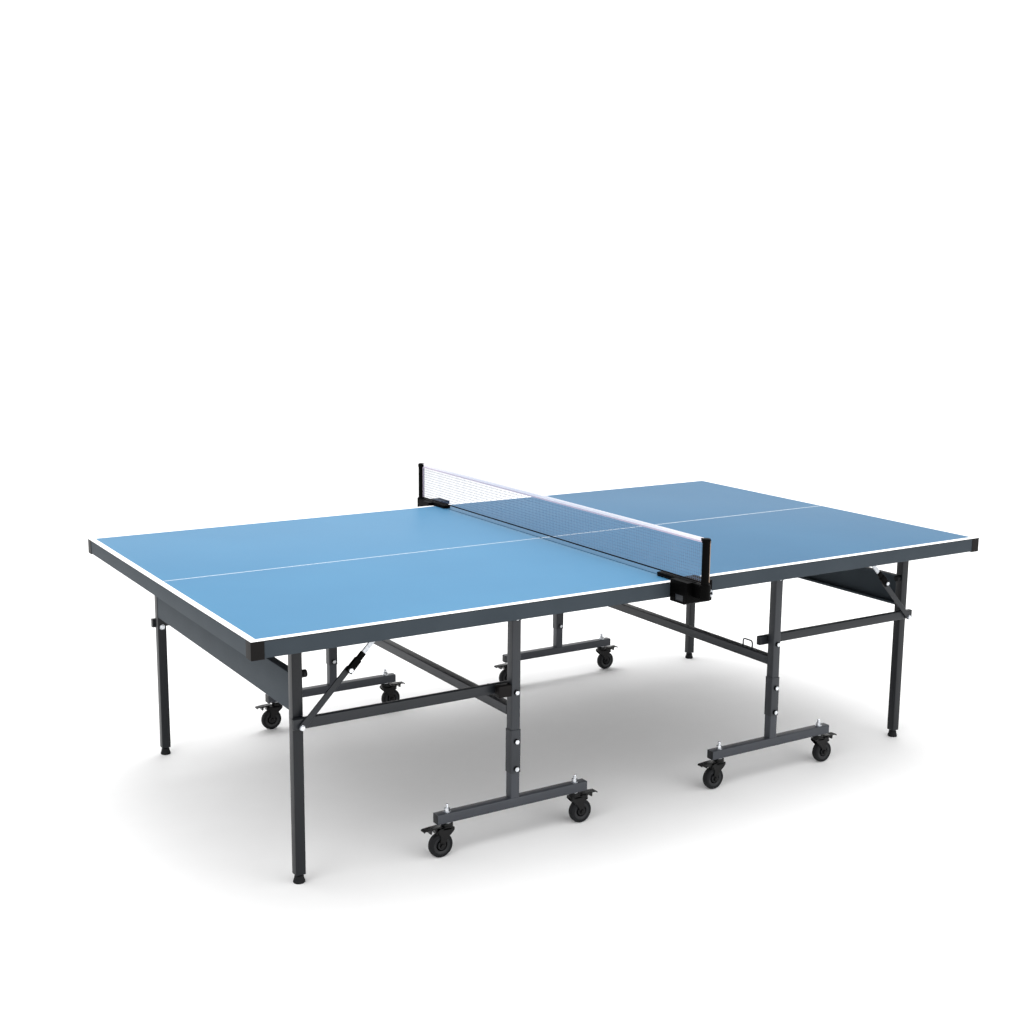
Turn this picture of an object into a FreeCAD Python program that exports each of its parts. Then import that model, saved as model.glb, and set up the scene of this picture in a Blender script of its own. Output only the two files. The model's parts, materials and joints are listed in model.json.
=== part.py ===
"""Folding ping pong table: two halves that tilt up on wheeled bases, with a clamp-on net set.

Frame: X along the table's length, Y across it, +Z up, origin on the floor under the centre of the top.
Every size is in millimetres and lives in the spreadsheet "sizes".
"""
import FreeCAD, Part
import math
import os
import re
import Sketcher

SIZES = {
    # playing surface
    "table_length": 2740, "table_width": 1525, "table_height": 760, "seam_half": 3,
    "board_thick": 19, "rim_thick": 3, "rim_inset": 3.5,
    # steel apron under the edge of the board
    "apron_drop": 48, "apron_inset": 1.2, "apron_wall": 1.5, "apron_lip": 18,
    "cap_side": 36, "cap_floor": 2,
    # square tube shared by every leg and beam
    "tube": 30, "wall": 1.5, "bolt_radius": 4, "bolt_clearance": 0.05,
    # inner legs and wheeled base
    "leg_x": 515, "leg_y": 645, "pivot_z": 690, "leg_top_z": 702, "beam_length": 525,
    "caster_height": 104, "split_z": 278, "split_gap": 1.5,
    "sleeve_low": 213, "sleeve_high": 346, "sleeve_side": 34, "sleeve_fit": 0.1,
    "sleeve_bolt_low": 226, "sleeve_bolt_high": 311, "sleeve_bolt_radius": 3,
    "seat_radius": 8, "seat_thick": 4,
    "cross_low": 387, "loop_y": 516, "loop_span": 46, "loop_rise": 27, "loop_wire": 2.5, "loop_bend": 9,
    "guide_length": 44, "guide_low": 452, "guide_high": 488, "guide_thick": 26,
    # outer legs
    "outer_x": 1180, "outer_y": 588.5, "outer_low": 26, "plug_height": 16,
    "panel_low": 497, "panel_high": 605, "panel_flange": 24, "panel_sheet": 1.5, "panel_lip": 8,
    "buffer_z": 600, "buffer_radius": 11, "buffer_length": 18,
    "foot_radius": 17, "foot_neck": 13, "foot_height": 22, "foot_stem": 4, "foot_stem_top": 62,
    # side rails between the inner and outer legs
    "rail_y": 615, "rail_thick": 18, "rail_height": 30, "rail_z": 470, "rail_pivot_z": 462,
    "rail_past_leg": 8, "rail_inner_long": 43, "rail_inner_short": 15,
    # folding stays
    "stay_x": 924, "stay_z": 728, "lower_reach": 200, "lower_width": 18, "lower_thick": 5,
    "lower_y": 629.5, "upper_reach": 169.177, "upper_y": 640, "cover_thick": 12, "cover_width": 22,
    "cover_past_knee": 8, "cover_end": 37, "neck_end": 60, "neck_thick": 9, "neck_width": 17,
    "strap_width": 14, "strap_thick": 5, "boss_radius": 7,
    # brackets under the board
    "ear_gap": 0.5, "ear_thick": 2.5, "ear_width": 36, "ear_drop": 14, "base_width": 64,
    "head_thick": 5, "head_across": 7.5, "rivet_thick": 2, "rivet_radius": 7, "spacer_radius": 8,
    # casters
    "swivel_offset": 225, "trail": 22, "wheel_radius": 37.5, "wheel_width": 22, "tread_width": 12,
    "hub_width": 24, "hub_radius": 12, "axle_radius": 4, "axle_half": 20,
    "fork_inside": 26, "fork_outside": 31, "crown_low": 84, "crown_high": 90, "race_radius": 18,
    "race_top": 101.5, "collar_radius": 13, "collar_low": 102, "stem_radius": 5, "stem_low": 79,
    "stem_top": 158, "stem_head_radius": 8, "nut_height": 12, "nut_across": 9.2,
    "pedal_x": 36, "pedal_z": 78, "pedal_barrel": 4, "pedal_pin": 2.5, "pedal_width": 24,
    # net set
    "net_height": 152.5, "net_thick": 3, "post_y": 885, "post_radius": 12,
    "clamp_rest": 0.5, "arm_thick": 12, "arm_inner_y": 672, "arm_width": 32, "clamp_inner_y": 764.5,
    "clamp_outer_y": 845, "clamp_low": 704, "clamp_left": 34, "clamp_right": 62, "socket_low": 728,
    "socket_rise": 30, "socket_radius": 17, "screw_x": 48, "screw_z": 735, "screw_radius": 3,
    "knob_radius": 11, "knob_length": 14, "pad_radius": 7, "pad_thick": 1, "pad_rest": 0.5,
    "window_y": 806, "window_z": 720, "window_width": 40, "window_height": 20,
}
FUNCTIONS = {"sqrt", "cos", "sin"}
HALVES = {"left": -1, "right": 1}
SIDES = {"near": -1, "far": 1}
TURNS = {"X": FreeCAD.Rotation(FreeCAD.Vector(0, 1, 0), 90),
         "Y": FreeCAD.Rotation(FreeCAD.Vector(1, 0, 0), -90),
         "Z": FreeCAD.Rotation()}

doc = FreeCAD.newDocument("ping_pong_table")
sheet = doc.addObject("Spreadsheet::Sheet", "sizes")
for row, (alias, number) in enumerate(SIZES.items(), start=1):
    sheet.set(f"A{row}", alias)
    sheet.set(f"B{row}", str(number))
    sheet.setAlias(f"B{row}", alias)
doc.recompute()
nodes = []


def linked(text):
    """The expression with every size name pointing at its cell."""
    return re.sub(r"[a-z_]\w*", lambda m: m[0] if m[0] in FUNCTIONS else f"sizes.{m[0]}", text)


def bind(thing, path, text):
    thing.setExpression(path, linked(text))


def place(thing, corner):
    """Bind the three coordinates of a piece's place."""
    for letter, text in zip("xyz", corner):
        bind(thing, f".Placement.Base.{letter}", text)


def block(name, centre, extent):
    """A box from its centre and its three sides."""
    box = doc.addObject("Part::Box", name)
    for side, text in zip(("Length", "Width", "Height"), extent):
        bind(box, side, text)
    place(box, [f"({middle}) - ({long}) / 2" for middle, long in zip(centre, extent)])
    return box


def rod(name, centre, axis, radius, length):
    """A cylinder centred on a point, along X, Y or Z."""
    piece = doc.addObject("Part::Cylinder", name)
    piece.Placement = FreeCAD.Placement(FreeCAD.Vector(), TURNS[axis])
    bind(piece, "Radius", radius)
    bind(piece, "Height", length)
    place(piece, back_half(centre, axis, length))
    return piece


def hexagon(name, centre, axis, corner_radius, length):
    """A hexagonal bolt head or nut centred on a point."""
    piece = doc.addObject("Part::Prism", name)
    piece.Polygon = 6
    piece.Placement = FreeCAD.Placement(FreeCAD.Vector(), TURNS[axis])
    bind(piece, "Circumradius", corner_radius)
    bind(piece, "Height", length)
    place(piece, back_half(centre, axis, length))
    return piece


def back_half(centre, axis, length):
    """Where a piece that grows along its axis starts, so that it ends up centred."""
    return [f"({middle}) - ({length}) / 2" if letter == axis else middle
            for letter, middle in zip("XYZ", centre)]


def cut(name, base, tools):
    result = doc.addObject("Part::Cut", name)
    result.Base = base
    result.Tool = tools[0] if len(tools) == 1 else fuse(f"{name}_tools", tools)
    return result


def fuse(name, pieces):
    result = doc.addObject("Part::MultiFuse", name)
    result.Shapes = pieces
    return result


def group(name, pieces):
    result = doc.addObject("Part::Compound", name)
    result.Links = pieces
    return result


def node(label, thing):
    """Name a finished sub-part: the label is its file name."""
    thing.Label = label
    nodes.append(thing)
    return thing


def square_tube(name, centre, extent, axis):
    """A hollow tube, open at both ends."""
    inside = [text if letter == axis else f"({text}) - 2 * wall" for letter, text in zip("XYZ", extent)]
    return cut(name, block(f"{name}_out", centre, extent), [block(f"{name}_in", centre, inside)])


def bolt_hole(name, centre, axis, length):
    """A hole with running clearance for a pivot bolt."""
    return rod(name, centre, axis, "bolt_radius + bolt_clearance", length)


def outline_sketch(body, plane, points):
    """A closed straight-sided sketch on one of the body's own planes, every corner bound to sizes."""
    sketch = body.newObject("Sketcher::SketchObject", f"{body.Name}_outline")
    origin_plane = next(part for part in body.Origin.OriginFeatures if part.Role == plane)
    sketch.AttachmentSupport = [(origin_plane, "")]
    sketch.MapMode = "FlatFace"
    count = len(points)
    for index in range(count):
        start = FreeCAD.Vector(10 * math.cos(index), 10 * math.sin(index), 0)
        end = FreeCAD.Vector(10 * math.cos(index + 1), 10 * math.sin(index + 1), 0)
        sketch.addGeometry(Part.LineSegment(start, end), False)
    for index in range(count):
        sketch.addConstraint(Sketcher.Constraint("Coincident", index, 2, (index + 1) % count, 1))
    for index, corner in enumerate(points):
        for direction, text in zip(("DistanceX", "DistanceY"), corner):
            number = sketch.addConstraint(Sketcher.Constraint(direction, -1, 1, index, 1, 1.0 + index))
            bind(sketch, f"Constraints[{number}]", text)
    return sketch


def padded_outline(name, plane, points, thickness):
    """A body padded both ways from one of its own planes."""
    body = doc.addObject("PartDesign::Body", name)
    pad = body.newObject("PartDesign::Pad", f"{name}_pad")
    pad.Profile = outline_sketch(body, plane, points)
    pad.SideType = "Symmetric"
    bind(pad, "Length", thickness)
    body.Tip = pad
    return body


def turned_outline(name, plane, points):
    """A body turned round its sketch's vertical axis."""
    body = doc.addObject("PartDesign::Body", name)
    sketch = outline_sketch(body, plane, points)
    turn = body.newObject("PartDesign::Revolution", f"{name}_turn")
    turn.Profile = sketch
    turn.ReferenceAxis = (sketch, ["V_Axis"])
    turn.Angle = 360
    body.Tip = turn
    return body


def make_board(half, sx):
    """The playing board: a thin rim plate to the very edge on a core that sits inside the apron."""
    length = "(table_length / 2 - seam_half)"
    middle = f"{sx} * (table_length / 4 + seam_half / 2)"
    rim = block(f"board_rim_{half}", (middle, "0", "table_height - rim_thick / 2"),
                (length, "table_width", "rim_thick"))
    core_height = "(board_thick - rim_thick)"
    core = block(f"board_core_{half}", (middle, "0", f"table_height - rim_thick - {core_height} / 2"),
                 (f"{length} - 2 * rim_inset", "table_width - 2 * rim_inset", core_height))
    node(f"playing_board_{half}", fuse(f"board_{half}", [rim, core]))


def make_apron(half, sx):
    """The folded steel apron: a wall under each edge of the board with a lip turned inwards."""
    length = "(table_length / 2 - seam_half)"
    middle = f"{sx} * (table_length / 4 + seam_half / 2)"
    wall_height = "(apron_drop - rim_thick)"
    wall_z = f"table_height - rim_thick - {wall_height} / 2"
    lip_z = "table_height - apron_drop + apron_wall / 2"

    def ring(name, z, height, depth):
        outer = block(f"{name}_out", (middle, "0", z),
                      (f"{length} - 2 * apron_inset", "table_width - 2 * apron_inset", height))
        inner = block(f"{name}_in", (middle, "0", z),
                      (f"{length} - 2 * (apron_inset + {depth})",
                       f"table_width - 2 * (apron_inset + {depth})", height))
        return cut(name, outer, [inner])

    walls = ring(f"apron_walls_{half}", wall_z, wall_height, "apron_wall")
    lips = ring(f"apron_lips_{half}", lip_z, "apron_wall", "apron_lip")
    node(f"apron_frame_{half}", fuse(f"apron_{half}", [walls, lips]))


def make_corner_caps(half, sx):
    """Plastic caps that wrap the two outer corners of the apron."""
    caps = []
    height = "(apron_drop - rim_thick + cap_floor)"
    for side, sy in SIDES.items():
        x = f"{sx} * (table_length / 2 - cap_side / 2)"
        y = f"{sy} * (table_width / 2 - cap_side / 2)"
        shell = block(f"cap_shell_{half}_{side}", (x, y, f"table_height - rim_thick - {height} / 2"),
                      ("cap_side", "cap_side", height))
        hollow = block(f"cap_hollow_{half}_{side}",
                       (f"{x} - {sx} * apron_inset", f"{y} - {sy} * apron_inset",
                        f"table_height - rim_thick - {height} / 2 + cap_floor"),
                       ("cap_side", "cap_side", height))
        caps.append(cut(f"cap_{half}_{side}", shell, [hollow]))
    node(f"corner_caps_{half}", group(f"caps_{half}", caps))


def make_ear_bracket(name, x, sy, middle, flat):
    """A folded bracket under the board: a base plate and two ears either side of a leg, with its bolt."""
    y = f"{sy} * {middle}"
    board_low = "(table_height - board_thick)"
    base = block(f"{name}_base", (x, y, f"{board_low} - ear_thick / 2"),
                 ("base_width", "tube + 2 * ear_gap + 2 * ear_thick", "ear_thick"))
    ear_height = f"({board_low} - pivot_z + ear_drop)"
    ears = []
    for letter, sign in (("a", -1), ("b", 1)):
        ears.append(block(f"{name}_ear_{letter}",
                          (x, f"{y} + {sign} * (tube + 2 * ear_gap + ear_thick) / 2",
                           f"{board_low} - {ear_height} / 2"),
                          ("ear_width", "ear_thick", ear_height)))
    plate = cut(f"{name}_plate", fuse(f"{name}_blank", [base] + ears),
                [bolt_hole(f"{name}_bore", (x, y, "pivot_z"), "Y", "2 * tube")])
    reach = "(tube / 2 + ear_gap + ear_thick)"
    bolt = make_bolt(f"{name}_bolt", x, sy, f"({middle} + {reach})", f"({middle} - {reach})", "pivot_z", flat)
    return [plate, bolt]


def make_bolt(name, x, sy, outer, inner, z, flat=False):
    """A pivot bolt along Y that grips from one distance off the centre line to another."""
    shank = rod(f"{name}_shank", (x, f"{sy} * ({outer} + {inner}) / 2", z), "Y", "bolt_radius",
                f"{outer} - {inner}")
    head = hexagon(f"{name}_head", (x, f"{sy} * ({outer} + head_thick / 2)", z), "Y",
                   "head_across", "head_thick")
    if flat:
        end = rod(f"{name}_rivet", (x, f"{sy} * ({inner} - rivet_thick / 2)", z), "Y",
                  "rivet_radius", "rivet_thick")
    else:
        end = hexagon(f"{name}_nut", (x, f"{sy} * ({inner} - head_thick / 2)", z), "Y",
                      "head_across", "head_thick")
    return fuse(name, [shank, head, end])


def make_top_brackets(half, sx):
    """Every bracket screwed under one board: leg pivots, outer leg hinges and stay hangers."""
    pieces = []
    for side, sy in SIDES.items():
        pieces += make_ear_bracket(f"leg_pivot_{half}_{side}", f"{sx} * leg_x", sy, "leg_y", True)
        pieces += make_ear_bracket(f"outer_hinge_{half}_{side}", f"{sx} * outer_x", sy, "outer_y", False)
        pieces += make_hanger(f"hanger_{half}_{side}", f"{sx} * stay_x", sy)
    node(f"top_brackets_{half}", group(f"brackets_{half}", pieces))


def make_hanger(name, x, sy):
    """An angle bracket under the board with the pin that a folding stay hangs from."""
    board_low = "(table_height - board_thick)"
    height = f"({board_low} - stay_z + ear_drop)"
    ear_in = "(upper_y + strap_thick / 2 + ear_gap)"
    ear = block(f"{name}_ear", (x, f"{sy} * ({ear_in} + ear_thick / 2)", f"{board_low} - {height} / 2"),
                ("ear_width", "ear_thick", height))
    foot = block(f"{name}_foot", (x, f"{sy} * ({ear_in} + ear_width / 4)", f"{board_low} - ear_thick / 2"),
                 ("ear_width", "ear_width / 2", "ear_thick"))
    plate = cut(f"{name}_plate", fuse(f"{name}_blank", [ear, foot]),
                [bolt_hole(f"{name}_bore", (x, f"{sy} * {ear_in}", "stay_z"), "Y", "2 * tube")])
    pin = make_bolt(f"{name}_pin", x, sy, f"({ear_in} + ear_thick)",
                    "(upper_y - strap_thick / 2 - ear_gap)", "stay_z", True)
    return [plate, pin]


def make_wire_loop(name, x, y):
    """A bent wire staple welded on the cross beam, standing in the YZ plane."""
    low = "(cross_low + tube)"
    top = f"({low} + loop_rise)"
    half_span = "(loop_span / 2)"
    pieces = []
    straight = "(loop_rise - loop_bend)"
    for letter, sign in (("a", -1), ("b", 1)):
        pieces.append(rod(f"{name}_leg_{letter}",
                          (x, f"{y} + {sign} * {half_span}", f"{low} + {straight} / 2 - wall / 2"), "Z",
                          "loop_wire", f"{straight} + wall"))
        bend = doc.addObject("Part::Torus", f"{name}_bend_{letter}")
        start = 90 if sign < 0 else 0
        bend.Placement = FreeCAD.Placement(FreeCAD.Vector(), stand_up(start))
        bend.Angle3 = 90
        bind(bend, "Radius1", "loop_bend")
        bind(bend, "Radius2", "loop_wire")
        place(bend, (x, f"{y} + {sign} * ({half_span} - loop_bend)", f"{top} - loop_bend"))
        pieces.append(bend)
    pieces.append(rod(f"{name}_bar", (x, y, top), "Y", "loop_wire", "loop_span - 2 * loop_bend"))
    return pieces


def stand_up(start_angle):
    """Turn a flat ring into the YZ plane, its quarter starting at the given angle from +Y."""
    upright = FreeCAD.Rotation(FreeCAD.Vector(0, 1, 0), FreeCAD.Vector(0, 0, 1), FreeCAD.Vector(1, 0, 0))
    return upright.multiply(FreeCAD.Rotation(FreeCAD.Vector(0, 0, 1), start_angle))


def make_inner_frame(half, sx):
    """The welded upright frame: two upper leg tubes, the cross beam between them and two wire loops."""
    x = f"{sx} * leg_x"
    welded = [square_tube(f"cross_beam_{half}", (x, "0", "cross_low + tube / 2"),
                          ("tube", "2 * leg_y - tube", "tube"), "Y")]
    holes = []
    for side, sy in SIDES.items():
        y = f"{sy} * leg_y"
        low = "(split_z + split_gap)"
        welded.append(square_tube(f"upper_leg_{half}_{side}", (x, y, f"({low} + leg_top_z) / 2"),
                                  ("tube", "tube", f"leg_top_z - {low}"), "Z"))
        welded += make_wire_loop(f"loop_{half}_{side}", x, f"{sy} * loop_y")
        holes.append(bolt_hole(f"pivot_hole_{half}_{side}", (x, y, "pivot_z"), "Y", "2 * tube"))
        holes.append(bolt_hole(f"rail_hole_{half}_{side}", (x, y, "rail_pivot_z"), "Y", "2 * tube"))
        holes.append(rod(f"upper_bolt_hole_{half}_{side}", (x, y, "sleeve_bolt_high"), "Y",
                         "sleeve_bolt_radius + bolt_clearance", "2 * tube"))
        if half == "left":
            welded.append(block(f"guide_{half}_{side}",
                                (f"{sx} * (leg_x + (tube + guide_length) / 2)",
                                 f"{sy} * (leg_y + (tube - guide_thick) / 2)",
                                 "(guide_low + guide_high) / 2"),
                                ("guide_length", "guide_thick", "guide_high - guide_low")))
    node(f"inner_frame_{half}", cut(f"frame_{half}", fuse(f"frame_blank_{half}", welded), holes))


def make_leg_sleeves(half, sx):
    """Square sleeves that join the upper and lower leg tubes, each bored for two through bolts."""
    sleeves = []
    height = "(sleeve_high - sleeve_low)"
    bore = "tube + 2 * sleeve_fit"
    for side, sy in SIDES.items():
        centre = (f"{sx} * leg_x", f"{sy} * leg_y", "(sleeve_low + sleeve_high) / 2")
        outer = block(f"sleeve_out_{half}_{side}", centre, ("sleeve_side", "sleeve_side", height))
        inner = block(f"sleeve_in_{half}_{side}", centre, (bore, bore, height))
        holes = [rod(f"sleeve_hole_{level}_{half}_{side}", (*centre[:2], f"sleeve_bolt_{level}"), "Y",
                     "sleeve_bolt_radius + bolt_clearance", "2 * tube")
                 for level in ("low", "high")]
        sleeves.append(cut(f"sleeve_{half}_{side}", outer, [inner] + holes))
    node(f"leg_sleeves_{half}", group(f"sleeves_{half}", sleeves))


def make_caster_beams(half, sx):
    """The welded feet of the base: a beam along X on two casters with a short leg tube on it."""
    beams = []
    beam_z = "caster_height + tube / 2"
    low = "(caster_height + tube)"
    for side, sy in SIDES.items():
        y = f"{sy} * leg_y"
        beam = square_tube(f"beam_{half}_{side}", (f"{sx} * leg_x", y, beam_z),
                           ("beam_length", "tube", "tube"), "X")
        stub = square_tube(f"lower_leg_{half}_{side}", (f"{sx} * leg_x", y, f"({low} + split_z) / 2"),
                           ("tube", "tube", f"split_z - {low}"), "Z")
        holes = [rod(f"stem_hole_{place_name}_{half}_{side}",
                     (f"{sx} * (leg_x + {sign} * swivel_offset)", y, beam_z), "Z",
                     "stem_radius + bolt_clearance", "2 * tube")
                 for place_name, sign in (("outer", 1), ("inner", -1))]
        holes.append(rod(f"lower_bolt_hole_{half}_{side}", (f"{sx} * leg_x", y, "sleeve_bolt_low"), "Y",
                         "sleeve_bolt_radius + bolt_clearance", "2 * tube"))
        blank = fuse(f"beam_blank_{half}_{side}", [beam, stub])
        beams.append(cut(f"caster_beam_{half}_{side}", blank, holes))
    node(f"caster_beams_{half}", group(f"beams_{half}", beams))


def make_base_bolts(half, sx):
    """The base's fasteners: rail pivot bolts, sleeve bolts and the casters' threaded stems with nuts."""
    bolts = []
    x = f"{sx} * leg_x"
    leg_in = "(leg_y - tube / 2)"
    rail_out = "(rail_y + rail_thick / 2)"
    for side, sy in SIDES.items():
        pivot = make_bolt(f"rail_bolt_{half}_{side}", x, sy, "(leg_y + tube / 2 + seat_thick)",
                          "(rail_y - rail_thick / 2 - ear_gap)", "rail_pivot_z")
        seat = rod(f"rail_bolt_seat_{half}_{side}",
                   (x, f"{sy} * (leg_y + (tube + seat_thick) / 2)", "rail_pivot_z"), "Y",
                   "seat_radius", "seat_thick")
        bolts.append(fuse(f"rail_pivot_{half}_{side}", [pivot, seat]))
        bolts.append(cut(f"rail_spacer_{half}_{side}",
                         rod(f"spacer_{half}_{side}",
                             (x, f"{sy} * ({leg_in} + {rail_out} + ear_gap) / 2", "rail_pivot_z"),
                             "Y", "spacer_radius", f"{leg_in} - {rail_out} - ear_gap"),
                         [bolt_hole(f"spacer_bore_{half}_{side}", (x, f"{sy} * {leg_in}", "rail_pivot_z"),
                                    "Y", "2 * tube")]))
        for level in ("low", "high"):
            level_z = f"sleeve_bolt_{level}"
            grip = "(sleeve_side / 2 + seat_thick)"
            parts = [rod(f"clamp_shank_{level}_{half}_{side}", (x, f"{sy} * leg_y", level_z), "Y",
                         "sleeve_bolt_radius", f"2 * {grip}")]
            for end, sign in (("head", 1), ("nut", -1)):
                y = f"{sy} * leg_y + {sign} * ({grip} + head_thick / 2)"
                seat_y = f"{sy} * leg_y + {sign} * ({grip} - seat_thick / 2)"
                parts.append(hexagon(f"clamp_{end}_{level}_{half}_{side}", (x, y, level_z), "Y",
                                     "head_across", "head_thick"))
                parts.append(rod(f"clamp_seat_{end}_{level}_{half}_{side}", (x, seat_y, level_z), "Y",
                                 "seat_radius", "seat_thick"))
            bolts.append(fuse(f"sleeve_bolt_{level}_{half}_{side}", parts))
        for spot, sign in (("outer", 1), ("inner", -1)):
            bolts.append(make_stem(f"{half}_{side}_{spot}", f"{sx} * (leg_x + {sign} * swivel_offset)",
                                   f"{sy} * leg_y"))
    node(f"base_bolts_{half}", group(f"bolts_{half}", bolts))


def make_stem(name, x, y):
    """One caster's stem: it hangs the fork from the beam, with a collar below and a nut on top."""
    beam_top = "(caster_height + tube)"
    stem = rod(f"stem_rod_{name}", (x, y, "(stem_low + stem_top) / 2"), "Z", "stem_radius",
               "stem_top - stem_low")
    head = rod(f"stem_head_{name}", (x, y, "(stem_low + crown_low) / 2 - 0.25"), "Z",
               "stem_head_radius", "crown_low - stem_low - 0.5")
    collar = rod(f"stem_collar_{name}", (x, y, "(collar_low + caster_height) / 2"), "Z",
                 "collar_radius", "caster_height - collar_low")
    nut = hexagon(f"stem_nut_{name}", (x, y, f"{beam_top} + nut_height / 2"), "Z", "nut_across", "nut_height")
    return fuse(f"stem_{name}", [stem, head, collar, nut])


def make_side_rails(half, sx):
    """The rails that keep the outer legs upright as the top tilts, with the bolts at their outer ends."""
    pieces = []
    inner_end = "rail_inner_long" if half == "right" else "rail_inner_short"
    start = f"(leg_x - {inner_end})"
    finish = "(outer_x + tube / 2 + rail_past_leg)"
    for side, sy in SIDES.items():
        y = f"{sy} * rail_y"
        tube = square_tube(f"rail_tube_{half}_{side}", (f"{sx} * ({start} + {finish}) / 2", y, "rail_z"),
                           (f"{finish} - {start}", "rail_thick", "rail_height"), "X")
        holes = [bolt_hole(f"rail_hole_{spot}_{half}_{side}", (f"{sx} * {x}", y, "rail_pivot_z"), "Y",
                           "2 * rail_thick") for spot, x in (("inner", "leg_x"), ("outer", "outer_x"))]
        pieces.append(cut(f"rail_{half}_{side}", tube, holes))
        pieces.append(make_bolt(f"outer_bolt_{half}_{side}", f"{sx} * outer_x", sy,
                                "(lower_y + lower_thick / 2 + ear_gap)",
                                "(outer_y - tube / 2 - ear_gap)", "rail_pivot_z"))
    node(f"side_rails_{half}", group(f"rails_{half}", pieces))


def make_outer_legs(half, sx):
    """The two outer legs, with a threaded plug in the foot of each."""
    legs = []
    for side, sy in SIDES.items():
        x = f"{sx} * outer_x"
        y = f"{sy} * outer_y"
        outside = block(f"outer_leg_out_{half}_{side}", (x, y, "(outer_low + leg_top_z) / 2"),
                        ("tube", "tube", "leg_top_z - outer_low"))
        inside = block(f"outer_leg_in_{half}_{side}", (x, y, "(outer_low + plug_height + leg_top_z) / 2"),
                       ("tube - 2 * wall", "tube - 2 * wall", "leg_top_z - outer_low - plug_height"))
        holes = [bolt_hole(f"hinge_hole_{half}_{side}", (x, y, "pivot_z"), "Y", "2 * tube"),
                 bolt_hole(f"brace_hole_{half}_{side}", (x, y, "rail_pivot_z"), "Y", "2 * tube"),
                 rod(f"plug_hole_{half}_{side}", (x, y, "outer_low"), "Z",
                     "foot_stem + bolt_clearance", "4 * plug_height")]
        legs.append(cut(f"outer_leg_{half}_{side}", outside, [inside] + holes))
    node(f"outer_legs_{half}", group(f"legs_{half}", legs))


def make_end_panel(half, sx):
    """The folded sheet panel between the outer legs, its flanges turned in towards the net."""
    outer = "tube / 2 - wall"
    inner = f"({outer} - panel_flange)"
    outline = [(outer, "panel_low"), (outer, "panel_high"), (inner, "panel_high"),
               (inner, "panel_high - panel_lip"), (f"{inner} + panel_sheet", "panel_high - panel_lip"),
               (f"{inner} + panel_sheet", "panel_high - panel_sheet"),
               (f"{outer} - panel_sheet", "panel_high - panel_sheet"),
               (f"{outer} - panel_sheet", "panel_low + panel_sheet"),
               (f"{inner} + panel_sheet", "panel_low + panel_sheet"),
               (f"{inner} + panel_sheet", "panel_low + panel_lip"), (inner, "panel_low + panel_lip"),
               (inner, "panel_low")]
    signed = [(f"{sx} * ({x})", z) for x, z in outline]
    panel = padded_outline(f"panel_{half}", "XZ_Plane", signed, "2 * outer_y - tube")
    place(panel, (f"{sx} * outer_x", "0", "0"))
    node(f"end_panel_{half}", panel)


def make_leg_buffers(half, sx):
    """Rubber buffers that keep the folded outer legs off the board."""
    buffers = []
    for side, sy in SIDES.items():
        x = f"{sx} * (outer_x - tube / 2 - buffer_length / 2)"
        buffers.append(rod(f"buffer_{half}_{side}", (x, f"{sy} * outer_y", "buffer_z"), "X",
                           "buffer_radius", "buffer_length"))
    node(f"leg_buffers_{half}", group(f"buffers_{half}", buffers))


def make_levelling_foot(half, sx, side, sy):
    """A rubber foot on a threaded stem that screws into the outer leg's plug."""
    outline = [("0", "0"), ("foot_radius - 1", "0"), ("foot_radius", "1"), ("foot_radius", "foot_height / 4"),
               ("foot_neck", "foot_height - 2"), ("foot_neck - 1", "foot_height"),
               ("foot_stem", "foot_height"), ("foot_stem", "foot_stem_top"), ("0", "foot_stem_top")]
    foot = turned_outline(f"foot_{half}_{side}", "XZ_Plane", outline)
    place(foot, (f"{sx} * outer_x", f"{sy} * outer_y", "0"))
    node(f"levelling_foot_{half}_{side}", foot)


def make_lower_stays(half, sx):
    """The flat lower links of the folding stays, from the outer leg's pivot up to the knee."""
    stays = []
    boss_length = "(upper_y - lower_y - (cover_thick + lower_thick) / 2 - ear_gap)"
    for side, sy in SIDES.items():
        bar = block(f"lower_bar_{half}_{side}", ("lower_reach / 2", "0", "0"),
                    ("lower_reach", "lower_thick", "lower_width"))
        ends = [rod(f"lower_end_{letter}_{half}_{side}", (x, "0", "0"), "Y", "lower_width / 2", "lower_thick")
                for letter, x in (("a", "0"), ("b", "lower_reach"))]
        boss = rod(f"knee_boss_{half}_{side}",
                   ("lower_reach", f"{sy} * (lower_thick + {boss_length}) / 2", "0"), "Y",
                   "boss_radius", boss_length)
        hole = bolt_hole(f"lower_hole_{half}_{side}", ("0", "0", "0"), "Y", "4 * lower_thick")
        blank = fuse(f"lower_blank_{half}_{side}", [bar, boss] + ends)
        stay = cut(f"lower_stay_{half}_{side}", blank, [hole])
        stay.Placement = FreeCAD.Placement(FreeCAD.Vector(), stay_turn(sx, 1))
        place(stay, (f"{sx} * outer_x", f"{sy} * lower_y", "rail_pivot_z"))
        stays.append(stay)
    node(f"lower_stays_{half}", group(f"lowers_{half}", stays))


def stay_turn(sx, up):
    """Turn a link drawn along +X to lean 45 degrees: up towards the net, or down away from it."""
    across = -sx * up
    angle = math.degrees(math.atan2(up, across))
    return FreeCAD.Rotation(FreeCAD.Vector(0, 1, 0), -angle)


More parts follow.
